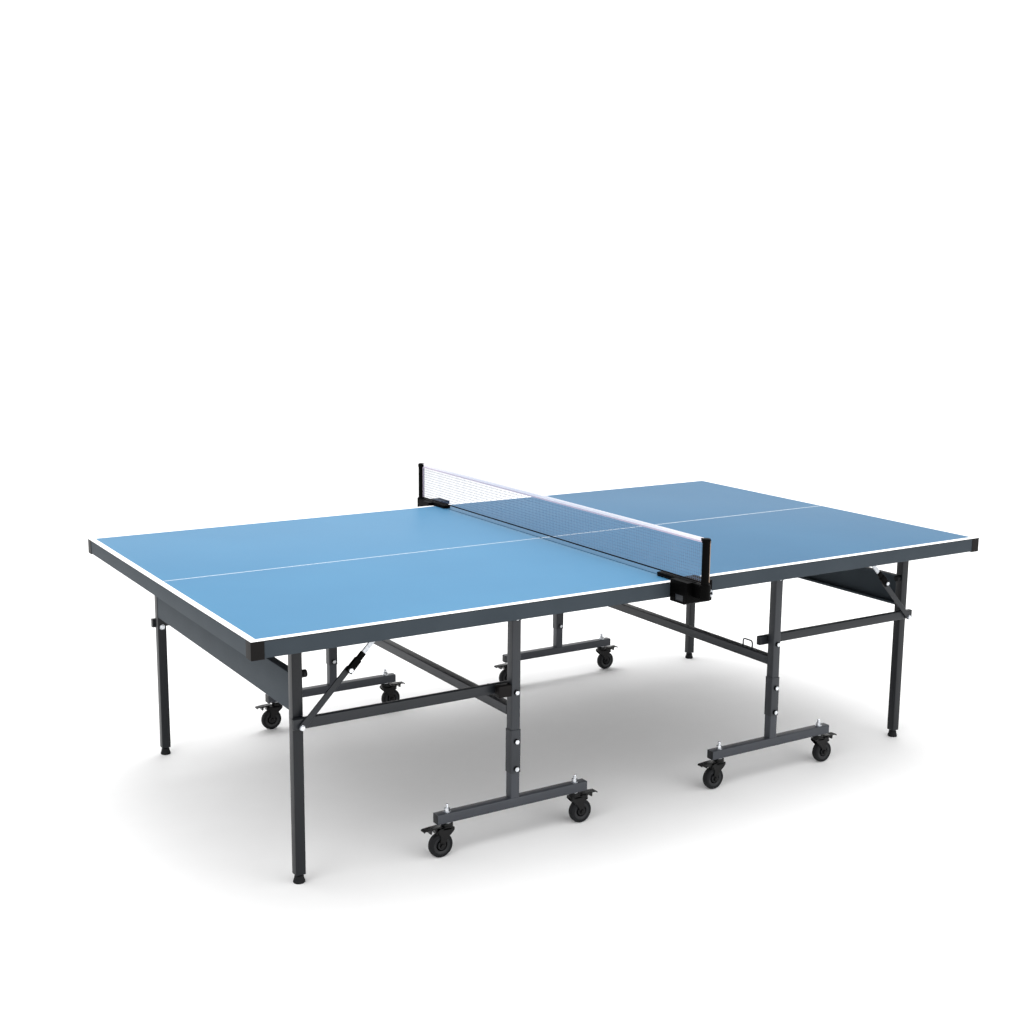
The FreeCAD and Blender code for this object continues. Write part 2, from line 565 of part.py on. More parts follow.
def make_upper_stays(half, sx):
    """The upper links: a strap on the hanger pin inside a stepped cover that ends at the knee bolt."""
    stays = []
    for side, sy in SIDES.items():
        strap = block(f"strap_{half}_{side}", ("upper_reach / 2", "0", "0"),
                      ("upper_reach", "strap_thick", "strap_width"))
        round_end = rod(f"strap_end_{half}_{side}", ("0", "0", "0"), "Y", "strap_width / 2", "strap_thick")
        neck = block(f"cover_neck_{half}_{side}", ("upper_reach - (neck_end + cover_end) / 2", "0", "0"),
                     ("neck_end - cover_end", "neck_thick", "neck_width"))
        cover = block(f"cover_{half}_{side}", ("upper_reach + (cover_past_knee - cover_end) / 2", "0", "0"),
                      ("cover_end + cover_past_knee", "cover_thick", "cover_width"))
        eye = bolt_hole(f"strap_hole_{half}_{side}", ("0", "0", "0"), "Y", "4 * strap_thick")
        knee = hexagon(f"knee_bolt_{half}_{side}",
                       ("upper_reach", f"{sy} * (cover_thick + head_thick) / 2", "0"), "Y",
                       "head_across", "head_thick")
        stay = cut(f"upper_stay_{half}_{side}",
                   fuse(f"upper_blank_{half}_{side}", [strap, round_end, neck, cover, knee]), [eye])
        stay.Placement = FreeCAD.Placement(FreeCAD.Vector(), stay_turn(sx, -1))
        place(stay, (f"{sx} * stay_x", f"{sy} * upper_y", "stay_z"))
        stays.append(stay)
    node(f"upper_stays_{half}", group(f"uppers_{half}", stays))


def make_caster(half, sx, side, sy, spot, outward):
    """One braked caster: a swivelling fork, its wheel and its pedal, trailing away from the leg."""
    name = f"{half}_{side}_{spot}"
    way = sx * outward
    x = f"{sx} * (leg_x + {outward} * swivel_offset)"
    y = f"{sy} * leg_y"
    make_fork(name, x, y, way)
    make_wheel(name, f"{x} + {way} * trail", y)
    make_pedal(name, x, y, way)


def make_fork(name, x, y, way):
    """The pressed fork with its bearing race, axle bolt and pedal pin."""
    outline = [("-race_radius", "crown_high"), ("-race_radius", "crown_low - 4"),
               ("trail - 10", "wheel_radius"), ("trail - 6", "wheel_radius - 9"),
               ("trail + 6", "wheel_radius - 9"), ("trail + 10", "wheel_radius"),
               ("trail + 12", "pedal_z - 14"), ("pedal_x + 6", "pedal_z - 5"),
               ("pedal_x + 6", "crown_low"), ("trail + 8", "crown_high")]
    signed = [(f"{way} * ({px})", pz) for px, pz in outline]
    blank = padded_outline(f"fork_body_{name}", "XZ_Plane", signed, "fork_outside")
    place(blank, (x, y, "0"))
    slot = block(f"fork_slot_{name}", (f"{x} + {way} * trail", y, "crown_low / 2"),
                 ("4 * wheel_radius", "fork_inside", "crown_low"))
    race = rod(f"fork_race_{name}", (x, y, "(crown_high + race_top) / 2"), "Z", "race_radius",
               "race_top - crown_high")
    bore = rod(f"fork_bore_{name}", (x, y, "crown_high"), "Z", "stem_radius + bolt_clearance",
               "2 * race_radius")
    sides = cut(f"fork_sides_{name}", blank, [slot])
    yoke = cut(f"fork_yoke_{name}", fuse(f"fork_top_{name}", [sides, race]), [bore])
    axle_x = f"{x} + {way} * trail"
    axle = rod(f"axle_{name}", (axle_x, y, "wheel_radius"), "Y", "axle_radius", "2 * axle_half")
    nuts = [hexagon(f"axle_nut_{letter}_{name}",
                    (axle_x, f"{y} + {sign} * (fork_outside + head_thick) / 2", "wheel_radius"), "Y",
                    "head_across", "head_thick") for letter, sign in (("a", -1), ("b", 1))]
    pin = rod(f"pedal_pin_{name}", (f"{x} + {way} * pedal_x", y, "pedal_z"), "Y", "pedal_pin", "fork_outside")
    node(f"caster_fork_{name}", fuse(f"fork_{name}", [yoke, axle, pin] + nuts))


def make_wheel(name, x, y):
    """A solid wheel with a crowned tyre, turned about Y."""
    half_hub = "hub_width / 2"
    half_wheel = "wheel_width / 2"
    half_tread = "tread_width / 2"
    bore = "axle_radius + bolt_clearance"
    outline = [(bore, f"-{half_hub}"), ("hub_radius", f"-{half_hub}"), ("hub_radius", f"-{half_wheel}"),
               ("wheel_radius - 4", f"-{half_wheel}"), ("wheel_radius - 1", f"-{half_tread} - 2"),
               ("wheel_radius", f"-{half_tread} / 2"), ("wheel_radius", f"{half_tread} / 2"),
               ("wheel_radius - 1", f"{half_tread} + 2"), ("wheel_radius - 4", half_wheel),
               ("hub_radius", half_wheel), ("hub_radius", half_hub), (bore, half_hub)]
    wheel = turned_outline(f"wheel_{name}", "XY_Plane", outline)
    place(wheel, (x, y, "wheel_radius"))
    node(f"caster_wheel_{name}", wheel)


def make_pedal(name, x, y, way):
    """The brake pedal: a barrel on the fork's pin, a level tread over the wheel and a release lip."""
    barrel = rod(f"pedal_barrel_{name}", (f"{x} + {way} * pedal_x", y, "pedal_z"), "Y",
                 "pedal_barrel", "pedal_width")
    outline = [("pedal_x", "pedal_z + 3.5"), ("pedal_x + 6", "pedal_z + 3.5"),
               ("pedal_x + 10", "pedal_z + 14"), ("pedal_x + 13", "pedal_z + 17"),
               ("pedal_x + 39", "pedal_z + 18"),
               ("pedal_x + 41", "pedal_z + 15"), ("pedal_x + 25", "pedal_z + 14"),
               ("pedal_x + 24", "pedal_z + 3"), ("pedal_x + 21", "pedal_z + 3"),
               ("pedal_x + 20", "pedal_z + 13.5"), ("pedal_x + 14", "pedal_z + 13"),
               ("pedal_x + 10", "pedal_z"), ("pedal_x + 6", "pedal_z - 3"), ("pedal_x", "pedal_z - 3.5")]
    signed = [(f"{way} * ({px})", pz) for px, pz in outline]
    plate = padded_outline(f"pedal_plate_{name}", "XZ_Plane", signed, "pedal_width")
    place(plate, (x, y, "0"))
    bore = rod(f"pedal_bore_{name}", (f"{x} + {way} * pedal_x", y, "pedal_z"), "Y",
               "pedal_pin + bolt_clearance", "2 * pedal_width")
    node(f"brake_pedal_{name}", cut(f"pedal_{name}", fuse(f"pedal_blank_{name}", [barrel, plate]), [bore]))


def make_net_brackets():
    """The two net clamps, each welded to its post: an arm on the board and a body outside the apron."""
    brackets = []
    arm_low = "(table_height + clamp_rest)"
    arm_top = f"({arm_low} + arm_thick)"
    body_width = "(clamp_left + clamp_right)"
    body_depth = "(clamp_outer_y - clamp_inner_y)"
    for side, sy in SIDES.items():
        arm = block(f"net_arm_{side}",
                    ("0", f"{sy} * (arm_inner_y + clamp_outer_y) / 2", f"{arm_low} + arm_thick / 2"),
                    ("arm_width", "clamp_outer_y - arm_inner_y", "arm_thick"))
        middle = ("(clamp_right - clamp_left) / 2", f"{sy} * (clamp_inner_y + clamp_outer_y) / 2")
        body = block(f"net_body_{side}", (*middle, f"(clamp_low + {arm_top}) / 2"),
                     (body_width, body_depth, f"{arm_top} - clamp_low"))
        window = block(f"net_window_{side}", (middle[0], f"{sy} * window_y", "window_z"),
                       (f"2 * {body_width}", "window_width", "window_height"))
        hole = rod(f"net_hole_{side}", ("screw_x", middle[1], "screw_z"), "Y",
                   "screw_radius + bolt_clearance", f"2 * {body_depth}")
        neck = block(f"net_neck_{side}",
                     ("0", f"{sy} * (clamp_outer_y + post_y) / 2", "socket_low + socket_rise / 2"),
                     ("2 * post_radius", "post_y - clamp_outer_y", "socket_rise"))
        socket = rod(f"net_socket_{side}", ("0", f"{sy} * post_y", f"(socket_low + {arm_top}) / 2"), "Z",
                     "socket_radius", f"{arm_top} - socket_low")
        post_top = "(table_height + net_height)"
        post = rod(f"net_post_{side}", ("0", f"{sy} * post_y", f"(socket_low + {post_top}) / 2"), "Z",
                   "post_radius", f"{post_top} - socket_low")
        brackets.append(cut(f"net_bracket_{side}", fuse(f"net_blank_{side}", [arm, body, neck, socket, post]),
                            [window, hole]))
    node("net_brackets", group("net_pair", brackets))


def make_net():
    """The stretched net as one thin closed solid between the posts."""
    top = "(table_height + net_height)"
    low = "(table_height + arm_thick + clamp_rest + 1)"
    gap = "2 * (post_y - post_radius - 1)"
    node("net", block("net_sheet", ("0", "0", f"({low} + {top}) / 2"), ("net_thick", gap, f"{top} - {low}")))


def make_thumb_screw(side, sy):
    """The screw that clamps a bracket against the apron, with a lobed knob and a pad."""
    tip = "(table_width / 2 + pad_rest + pad_thick / 2)"
    knob_y = "(clamp_outer_y + ear_gap + knob_length / 2)"
    shank = rod(f"screw_shank_{side}", ("screw_x", f"{sy} * ({tip} + {knob_y}) / 2", "screw_z"), "Y",
                "screw_radius", f"{knob_y} - {tip}")
    knob = rod(f"screw_knob_{side}", ("screw_x", f"{sy} * {knob_y}", "screw_z"), "Y",
               "knob_radius", "knob_length")
    pad = rod(f"screw_pad_{side}", ("screw_x", f"{sy} * {tip}", "screw_z"), "Y", "pad_radius", "pad_thick")
    node(f"clamp_screw_{side}", fuse(f"screw_{side}", [shank, knob, pad]))


for half_name, half_sign in HALVES.items():
    make_board(half_name, half_sign)
    make_apron(half_name, half_sign)
    make_corner_caps(half_name, half_sign)
    make_top_brackets(half_name, half_sign)
    make_inner_frame(half_name, half_sign)
    make_leg_sleeves(half_name, half_sign)
    make_caster_beams(half_name, half_sign)
    make_base_bolts(half_name, half_sign)
    make_side_rails(half_name, half_sign)
    make_outer_legs(half_name, half_sign)
    make_end_panel(half_name, half_sign)
    make_leg_buffers(half_name, half_sign)
    make_lower_stays(half_name, half_sign)
    make_upper_stays(half_name, half_sign)
    for side_name, side_sign in SIDES.items():
        make_levelling_foot(half_name, half_sign, side_name, side_sign)
        make_caster(half_name, half_sign, side_name, side_sign, "outer", 1)
        make_caster(half_name, half_sign, side_name, side_sign, "inner", -1)
make_net_brackets()
make_net()
for side_name, side_sign in SIDES.items():
    make_thumb_screw(side_name, side_sign)

doc.recompute()
failed = [thing.Name for thing in doc.Objects if {"Invalid", "Error"} & set(thing.State)]
failed += [thing.Label for thing in nodes if thing.Shape.isNull() or not thing.Shape.isValid()]
if failed:
    raise SystemExit("these objects failed: " + ", ".join(failed))
os.makedirs("parts", exist_ok=True)
for thing in nodes:
    thing.Shape.exportStep(f"parts/{thing.Label}.step")
print(f"{len(nodes)} sub-parts written")
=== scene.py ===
"""Looks of the folding ping pong table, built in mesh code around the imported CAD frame."""
import bmesh
import bpy
import json
import math
from mathutils import Matrix, Vector


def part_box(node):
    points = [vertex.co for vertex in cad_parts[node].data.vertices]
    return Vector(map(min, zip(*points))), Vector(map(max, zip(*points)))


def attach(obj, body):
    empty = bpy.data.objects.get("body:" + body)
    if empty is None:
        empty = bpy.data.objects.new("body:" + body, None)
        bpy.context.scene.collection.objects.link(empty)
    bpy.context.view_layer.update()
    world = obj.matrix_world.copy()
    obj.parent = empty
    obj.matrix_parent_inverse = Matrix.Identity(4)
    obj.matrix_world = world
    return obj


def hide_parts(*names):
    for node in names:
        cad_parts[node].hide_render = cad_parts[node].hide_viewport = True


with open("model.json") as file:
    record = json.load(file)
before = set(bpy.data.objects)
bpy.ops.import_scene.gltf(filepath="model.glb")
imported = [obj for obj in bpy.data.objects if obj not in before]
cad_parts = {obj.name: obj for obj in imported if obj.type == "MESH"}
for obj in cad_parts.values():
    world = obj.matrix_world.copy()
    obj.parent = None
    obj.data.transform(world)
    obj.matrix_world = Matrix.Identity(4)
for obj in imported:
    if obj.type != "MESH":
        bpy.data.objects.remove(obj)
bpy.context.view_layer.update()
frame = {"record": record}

HALVES = {"left": -1, "right": 1}
SIDES = {"near": -1, "far": 1}
NODE_BODY = {n: b for b, members in frame["record"]["behaviour"]["bodies"].items() for n in members}
TUBE = 0.030        # square tube of the legs, beams and cross beams
SLEEVE = 0.034      # square sleeve over the lower leg joint
WALL = 0.0015
TOP_PIVOT = 0.690   # bolts between the legs and the top
PIVOT = 0.462       # bolts between the legs and the rails
HANGER_X = 0.924    # stay hangers, from the net
STAY_TOP = 0.728
RAIL_Y = 0.615
SWIVEL = 0.225      # caster stems, from the leg
TRAIL = 0.022       # axle behind the stem
AXLE = 0.0375
PEDAL_PIN = (0.036, 0.078)
SLEEVE_BOLTS = (0.226, 0.311)
SOCKET = 0.017      # radius of a net post's socket
EPS = 1e-6


# ---------------------------------------------------------------- materials
def tree(name):
    """A new node material with an empty slate."""
    material = bpy.data.materials.new(name)
    material.use_nodes = True
    web = material.node_tree
    web.nodes.clear()
    out = web.nodes.new("ShaderNodeOutputMaterial")
    shader = web.nodes.new("ShaderNodeBsdfPrincipled")
    web.links.new(shader.outputs["BSDF"], out.inputs["Surface"])
    return material, web, shader


def rgb(red, green, blue):
    """An sRGB colour on 0..255 as linear values."""
    def channel(value):
        value /= 255
        return value / 12.92 if value <= 0.04045 else ((value + 0.055) / 1.055) ** 2.4
    return (channel(red), channel(green), channel(blue), 1.0)


def noise(web, scale, detail, stretch=(1, 1, 1)):
    """Noise in object space, stretched along the axes when asked."""
    coords = web.nodes.new("ShaderNodeTexCoord")
    mapping = web.nodes.new("ShaderNodeMapping")
    mapping.inputs["Scale"].default_value = stretch
    texture = web.nodes.new("ShaderNodeTexNoise")
    texture.inputs["Scale"].default_value = scale
    texture.inputs["Detail"].default_value = detail
    web.links.new(coords.outputs["Object"], mapping.inputs["Vector"])
    web.links.new(mapping.outputs["Vector"], texture.inputs["Vector"])
    return texture.outputs["Fac"]


def ramp(web, source, low, high, first, second):
    """Two colours blended over a span of the source value."""
    piece = web.nodes.new("ShaderNodeValToRGB")
    piece.color_ramp.elements[0].position = low
    piece.color_ramp.elements[0].color = first
    piece.color_ramp.elements[1].position = high
    piece.color_ramp.elements[1].color = second
    web.links.new(source, piece.inputs["Fac"])
    return piece.outputs["Color"]


def bump(web, shader, source, strength, distance):
    """Small relief from a source value."""
    piece = web.nodes.new("ShaderNodeBump")
    piece.inputs["Strength"].default_value = strength
    piece.inputs["Distance"].default_value = distance
    web.links.new(source, piece.inputs["Height"])
    web.links.new(piece.outputs["Normal"], shader.inputs["Normal"])


def uneven(web, shader, source, smooth, dull):
    """Roughness that wanders between two values."""
    wear = web.nodes.new("ShaderNodeMapRange")
    wear.inputs["To Min"].default_value = smooth
    wear.inputs["To Max"].default_value = dull
    web.links.new(source, wear.inputs["Value"])
    web.links.new(wear.outputs["Result"], shader.inputs["Roughness"])


def laid_over(web, share, under, over):
    """A plain colour laid over another one where the share is 1."""
    mix = web.nodes.new("ShaderNodeMix")
    mix.data_type = "RGBA"
    mix.inputs[7].default_value = over
    web.links.new(share, mix.inputs[0])
    web.links.new(under, mix.inputs[6])
    return mix.outputs[2]


def grained(name, colour, darker, rough, spread, grain, depth, metal=0.0, stretch=(1, 1, 1), shine=0.5,
            patch=9.0):
    """The shared recipe: soft colour patches, uneven roughness and a fine surface grain."""
    material, web, shader = tree(name)
    patches = noise(web, patch, 4)
    fine = noise(web, grain, 3, stretch)
    web.links.new(ramp(web, patches, 0.3, 0.7, darker, colour), shader.inputs["Base Color"])
    uneven(web, shader, fine, rough - spread, rough + spread)
    shader.inputs["Metallic"].default_value = metal
    shader.inputs["Specular IOR Level"].default_value = shine
    bump(web, shader, fine, 0.35, depth)
    return material


def axis_value(web, axis):
    """One coordinate in object space."""
    coords = web.nodes.new("ShaderNodeTexCoord")
    parts = web.nodes.new("ShaderNodeSeparateXYZ")
    web.links.new(coords.outputs["Object"], parts.inputs["Vector"])
    return parts.outputs[axis]


def maths(web, operation, first, second):
    piece = web.nodes.new("ShaderNodeMath")
    piece.operation = operation
    for slot, value in zip(piece.inputs, (first, second)):
        if isinstance(value, (int, float)):
            slot.default_value = value
        else:
            web.links.new(value, slot)
    return piece.outputs["Value"]


def board_paint(name, blue, deep, box_low, box_high):
    """Satin table paint: blue with a 20 mm white border, a 3 mm centre line, and outer sides painted near
    black below the top edge as shade of the gap over the apron.
    """
    material, web, shader = tree(name)
    border, line = 0.020, 0.0015
    x, y = axis_value(web, "X"), axis_value(web, "Y")
    outer = max((box_low.x, box_high.x), key=abs)
    across, along = maths(web, "ABSOLUTE", y, 0.0), maths(web, "ABSOLUTE", x, 0.0)
    sides = maths(web, "GREATER_THAN", across, box_high.y - border)
    middle = maths(web, "LESS_THAN", across, line)
    end = maths(web, "GREATER_THAN", along, abs(outer) - border)
    white = maths(web, "MAXIMUM", maths(web, "MAXIMUM", sides, middle), end)
    base = ramp(web, noise(web, 2.2, 3), 0.3, 0.75, deep, blue)
    marked = laid_over(web, white, base, rgb(250, 250, 250))
    # Painted shade: the sides below the top edge go near black, standing for the shadow in the gap over the
    # apron; the edges at the middle seam stay blue.
    below = maths(web, "LESS_THAN", axis_value(web, "Z"), box_high.z - 0.0008)
    away = maths(web, "GREATER_THAN", along, 0.010)
    gap_shade = laid_over(web, maths(web, "MULTIPLY", below, away), marked, rgb(20, 18, 18))
    web.links.new(gap_shade, shader.inputs["Base Color"])
    fine = noise(web, 1500, 2)
    uneven(web, shader, fine, 0.42, 0.58)
    shader.inputs["Specular IOR Level"].default_value = 0.18
    bump(web, shader, fine, 0.25, 0.00015)
    return material


def woven(name, colour, darker, pitch):
    """A woven tape: crossed threads from two sine waves."""
    material, web, shader = tree(name)
    waves = []
    for axis in ("Y", "Z"):
        value = maths(web, "MULTIPLY", axis_value(web, axis), 2 * math.pi / pitch)
        waves.append(maths(web, "SINE", value, 0.0))
    threads = maths(web, "MULTIPLY", waves[0], waves[1])
    web.links.new(ramp(web, threads, 0.0, 0.9, darker, colour), shader.inputs["Base Color"])
    shader.inputs["Roughness"].default_value = 0.85
    shader.inputs["Sheen Weight"].default_value = 0.3
    bump(web, shader, threads, 0.5, 0.0002)
    return material


# Both halves share one blue paint; the right half's darker copy is painted shade, as the light falls from
# the left.
LIT_AND_SHADED_BLUES = {"left": (rgb(69, 126, 163), rgb(65, 121, 158)), "right": (rgb(58, 105, 138), rgb(54, 100, 133))}
PAINT = {h: board_paint(f"board_paint_{h}", *LIT_AND_SHADED_BLUES[h], *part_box(f"playing_board_{h}")) for h in HALVES}
CORE = grained("board_core", rgb(40, 36, 34), rgb(30, 27, 26), 0.8, 0.1, 260, 0.0004, stretch=(1, 3, 1),
               shine=0.2)
SLATE = grained("slate_steel", rgb(57, 64, 70), rgb(53, 60, 66), 0.5, 0.07, 1300, 0.00018, shine=0.06)
CHARCOAL = grained("charcoal_steel", rgb(40, 43, 48), rgb(36, 39, 44), 0.38, 0.08, 1300, 0.00018, shine=0.35)
# Copies of the charcoal paint in other tones: the caster beams' lighter copy is painted light; the darker
# copies for the rails, lower stays and outer legs are painted shade.
CHARCOAL_LIT = grained("charcoal_steel_lit", rgb(54, 57, 63), rgb(49, 52, 58), 0.38, 0.08, 1300, 0.00018, shine=0.35)
CHARCOAL_SHADED = grained("charcoal_steel_shaded", rgb(30, 33, 37), rgb(26, 29, 33), 0.36, 0.08, 1300, 0.00018, shine=0.3)
CHARCOAL_DEEP_SHADE = grained("charcoal_steel_deep_shade", rgb(13, 17, 22), rgb(10, 13, 18), 0.36, 0.08, 1300, 0.00018, shine=0.3)
BLACK = grained("black_plastic", rgb(3, 3, 3), rgb(2, 2, 2), 0.5, 0.08, 1800, 0.0002, shine=0.04)
CAP_BLACK = grained("cap_plastic", rgb(20, 18, 18), rgb(15, 13, 13), 0.42, 0.08, 1600, 0.0002, shine=0.1)
PLUG = grained("plug_plastic", rgb(26, 28, 31), rgb(21, 23, 26), 0.45, 0.08, 1600, 0.0002, shine=0.2)
PEDAL = grained("pedal_plastic", rgb(7, 7, 8), rgb(5, 5, 6), 0.28, 0.06, 900, 0.0002, shine=0.3)
RUBBER = grained("black_rubber", rgb(23, 24, 26), rgb(17, 18, 20), 0.62, 0.1, 700, 0.0003, shine=0.15)
HUB = grained("hub_plastic", rgb(30, 31, 34), rgb(23, 24, 26), 0.42, 0.08, 1200, 0.0002, shine=0.3)
FORK = grained("fork_steel", rgb(7, 7, 8), rgb(5, 5, 6), 0.3, 0.08, 1100, 0.0002, shine=0.25)
ZINC = grained("zinc_steel", rgb(224, 226, 229), rgb(196, 200, 205), 0.24, 0.08, 900, 0.0001, metal=1.0,
               patch=120)
STRAP = grained("zinc_strap", rgb(200, 203, 207), rgb(160, 164, 170), 0.34, 0.1, 500, 0.0002, metal=0.85,
                stretch=(6, 1, 6), patch=160)
CORD = grained("net_cord", rgb(98, 116, 144), rgb(86, 104, 132), 0.8, 0.1, 2500, 0.0001, shine=0.2)
HEM = grained("net_hem", rgb(14, 9, 12), rgb(8, 5, 7), 0.8, 0.1, 2500, 0.0002, shine=0.1)
LINE = grained("net_line", rgb(158, 138, 122), rgb(136, 118, 104), 0.8, 0.1, 2500, 0.0002, shine=0.2)
TAPE = woven("net_tape", rgb(246, 244, 246), rgb(226, 222, 230), 0.0012)
SEAM = woven("tape_lining", rgb(206, 192, 206), rgb(184, 170, 190), 0.0012)


# ---------------------------------------------------------------- mesh helpers
def placed(name, data):
    """A new object in the scene."""
    item = bpy.data.objects.new(name, data)
    bpy.context.scene.collection.objects.link(item)
    return item


def finish_piece(name, bm, body, material, angle=35.0):
    """Turn a mesh in progress into a piece that rides on a body, smooth except at sharp edges."""
    bmesh.ops.recalc_face_normals(bm, faces=bm.faces)
    for face in bm.faces:
        face.smooth = True
    limit = math.radians(angle)
    for edge in bm.edges:
        edge.smooth = len(edge.link_faces) == 2 and edge.calc_face_angle(0.0) < limit
    mesh = bpy.data.meshes.new(name)
    bm.to_mesh(mesh)
    bm.free()
    materials = material if isinstance(material, (list, tuple)) else [material]
    for entry in materials:
        mesh.materials.append(entry)
    piece = placed(name, mesh)
    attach(piece, body)
    return piece


def stand_in(node, name, bm, material, angle=35.0):
    """A finished piece that rides on its node's body and takes the node's place."""
    piece = finish_piece(name, bm, NODE_BODY[node], material, angle)
    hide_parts(node)
    return piece


def rounded_section(width, height, radius, steps=4):
    """A rectangle with round corners, centred, anticlockwise."""
    points = []
    for quarter, (sx, sy) in enumerate(((1, 1), (-1, 1), (-1, -1), (1, -1))):
        cx, cy = sx * (width / 2 - radius), sy * (height / 2 - radius)
        for step in range(steps + 1):
            turn = math.radians(90 * quarter + 90 * step / steps)
            points.append((cx + radius * math.cos(turn), cy + radius * math.sin(turn)))
    return points


def frame_axes(axis):
    """The two directions across an axis, and the one along it."""
    return {"X": (Vector((0, 1, 0)), Vector((0, 0, 1)), Vector((1, 0, 0))),
            "Y": (Vector((0, 0, 1)), Vector((1, 0, 0)), Vector((0, 1, 0))),
            "Z": (Vector((1, 0, 0)), Vector((0, 1, 0)), Vector((0, 0, 1)))}[axis]


def ring_of(bm, section, origin, u, v):
    """Points of a flat section set in space."""
    return [bm.verts.new(origin + u * a + v * b) for a, b in section]


def bridge(bm, first, second, index=0):
    """Faces between two closed rings of points."""
    count = len(first)
    for i in range(count):
        j = (i + 1) % count
        bm.faces.new((first[i], first[j], second[j], second[i])).material_index = index


def skin(bm, rings, index=0):
    """Faces along a row of rings and over its two ends."""
    for first, second in zip(rings, rings[1:]):
        bridge(bm, first, second, index)
    for ring in (rings[0], rings[-1]):
        bm.faces.new(ring).material_index = index


def prism(bm, section, origin, u, v, along, length, bevel=0.0, index=0):
    """A solid section pushed along a direction, its two ends eased by a small chamfer."""
    centre_u = sum(p[0] for p in section) / len(section)
    centre_v = sum(p[1] for p in section) / len(section)
    def shrunk(amount):
        out = []
        for a, b in section:
            da, db = a - centre_u, b - centre_v
            far = math.hypot(da, db)
            share = max(0.0, far - amount) / far if far > EPS else 1.0
            out.append((centre_u + da * share, centre_v + db * share))
        return out
    stations = [(0.0, bevel), (bevel, 0.0), (length - bevel, 0.0), (length, bevel)] if bevel else \
        [(0.0, 0.0), (length, 0.0)]
    skin(bm, [ring_of(bm, shrunk(inset), origin + along * at, u, v) for at, inset in stations], index)


def tube(bm, axis, centre, length, width=TUBE, height=TUBE, radius=0.0028, wall=WALL, index=0):
    """A square tube with round corners, open at both ends, from its centre."""
    u, v, along = frame_axes(axis)
    outer = rounded_section(width, height, radius)
    inner = rounded_section(width - 2 * wall, height - 2 * wall, max(radius - wall, 0.0006))
    origin = Vector(centre) - along * length / 2
    ends = []
    for at in (0.0, length):
        ends.append((ring_of(bm, outer, origin + along * at, u, v),
                     ring_of(bm, inner, origin + along * at, u, v)))
    bridge(bm, ends[0][0], ends[1][0], index)
    bridge(bm, ends[0][1], ends[1][1], index)
    for outside, inside in ends:
        bridge(bm, outside, inside, index)


def block(bm, low, high, bevel=0.0008, steps=2, index=0):
    """A box with rounded edges between two corners."""
    low, high = Vector(low), Vector(high)
    before = set(bm.faces)
    matrix = Matrix.Translation((low + high) / 2) @ Matrix.Diagonal((*(high - low), 1.0))
    made = bmesh.ops.create_cube(bm, size=1.0, matrix=matrix)
    if bevel:
        edges = list({edge for vert in made["verts"] for edge in vert.link_edges})
        bmesh.ops.bevel(bm, geom=edges, offset=bevel, segments=steps, profile=0.5, affect="EDGES")
    for face in bm.faces:
        if face not in before:
            face.material_index = index


def lathe(bm, profile, centre, axis, steps=32, index=0):
    """Turn a closed profile of (radius, place along the axis) round a centre."""
    u, v, along = frame_axes(axis)
    centre = Vector(centre)
    rings = []
    for radius, at in profile:
        if radius < EPS:
            rings.append([bm.verts.new(centre + along * at)])
            continue
        rings.append([bm.verts.new(centre + along * at + (u * math.cos(t) + v * math.sin(t)) * radius)
                      for t in (2 * math.pi * k / steps for k in range(steps))])
    for first, second in zip(rings, rings[1:] + rings[:1]):
        if len(first) == 1 and len(second) == 1:
            continue
        if len(first) == 1 or len(second) == 1:
            point, ring = (first[0], second) if len(first) == 1 else (second[0], first)
            for i in range(steps):
                bm.faces.new((point, ring[i], ring[(i + 1) % steps])).material_index = index
            continue
        bridge(bm, first, second, index)


def rod(bm, radius, start, stop, centre, axis, steps=20, index=0):
    """A plain round bar between two places along an axis."""
    profile = [(0, start), (radius, start), (radius, stop), (0, stop)]
    lathe(bm, profile, centre, axis, steps, index)


def collar(bm, inner, outer, length, centre, index=0):
    """A spacer round a bolt that lies across the table."""
    lathe(bm, [(inner, 0), (outer, 0), (outer, length), (inner, length)], centre, "Y", 24, index)


def hexagon(bm, centre, axis, across, height, index=0):
    """A bolt head or nut, chamfered at both ends, centred on a point."""
    u, v, along = frame_axes(axis)
    corners = [(across * math.cos(math.radians(60 * k + 30)), across * math.sin(math.radians(60 * k + 30)))
               for k in range(6)]
    prism(bm, corners, Vector(centre) - along * height / 2, u, v, along, height, bevel=across * 0.12,
          index=index)


def bolt(bm, centre, axis, outward, across=0.0075, height=0.005, washer=0.009, index=0, seat=None,
         lift=0.0012):
    """A hexagon head on a washer, standing out from a face; the washer may have its own material."""
    along = frame_axes(axis)[2]
    centre = Vector(centre)
    lathe(bm, [(0, 0), (washer, 0), (washer + 0.0002, outward * lift * 0.3), (washer, outward * lift),
               (0, outward * lift)], centre, axis, 24, index if seat is None else seat)
    hexagon(bm, centre + along * outward * (lift + (height - lift) / 2), axis, across, height - lift, index)


def outline_plate(bm, points, origin, u, v, along, thickness, bevel=0.0005, index=0):
    """A flat plate from an outline, with eased edges, centred on its thickness."""
    centre_ring = [Vector((a, b)) for a, b in points]
    count = len(centre_ring)
    def inset(amount):
        out = []
        for i in range(count):
            before, here, after = centre_ring[i - 1], centre_ring[i], centre_ring[(i + 1) % count]
            d1, d2 = (here - before).normalized(), (after - here).normalized()
            n1, n2 = Vector((-d1.y, d1.x)), Vector((-d2.y, d2.x))
            bisector = (n1 + n2)
            size = bisector.length
            if size < EPS:
                out.append(tuple(here))
                continue
            bisector /= size
            reach = amount / max(bisector.dot(n1), 0.35)
            out.append(tuple(here + bisector * reach))
        return out
    area = sum(centre_ring[i - 1].cross(centre_ring[i]) for i in range(count))
    sign = 1 if area > 0 else -1
    half = thickness / 2
    stations = [(-half, bevel * sign), (-half + bevel, 0), (half - bevel, 0), (half, bevel * sign)]
    skin(bm, [ring_of(bm, inset(amount), Vector(origin) + along * at, u, v) for at, amount in stations],
         index)


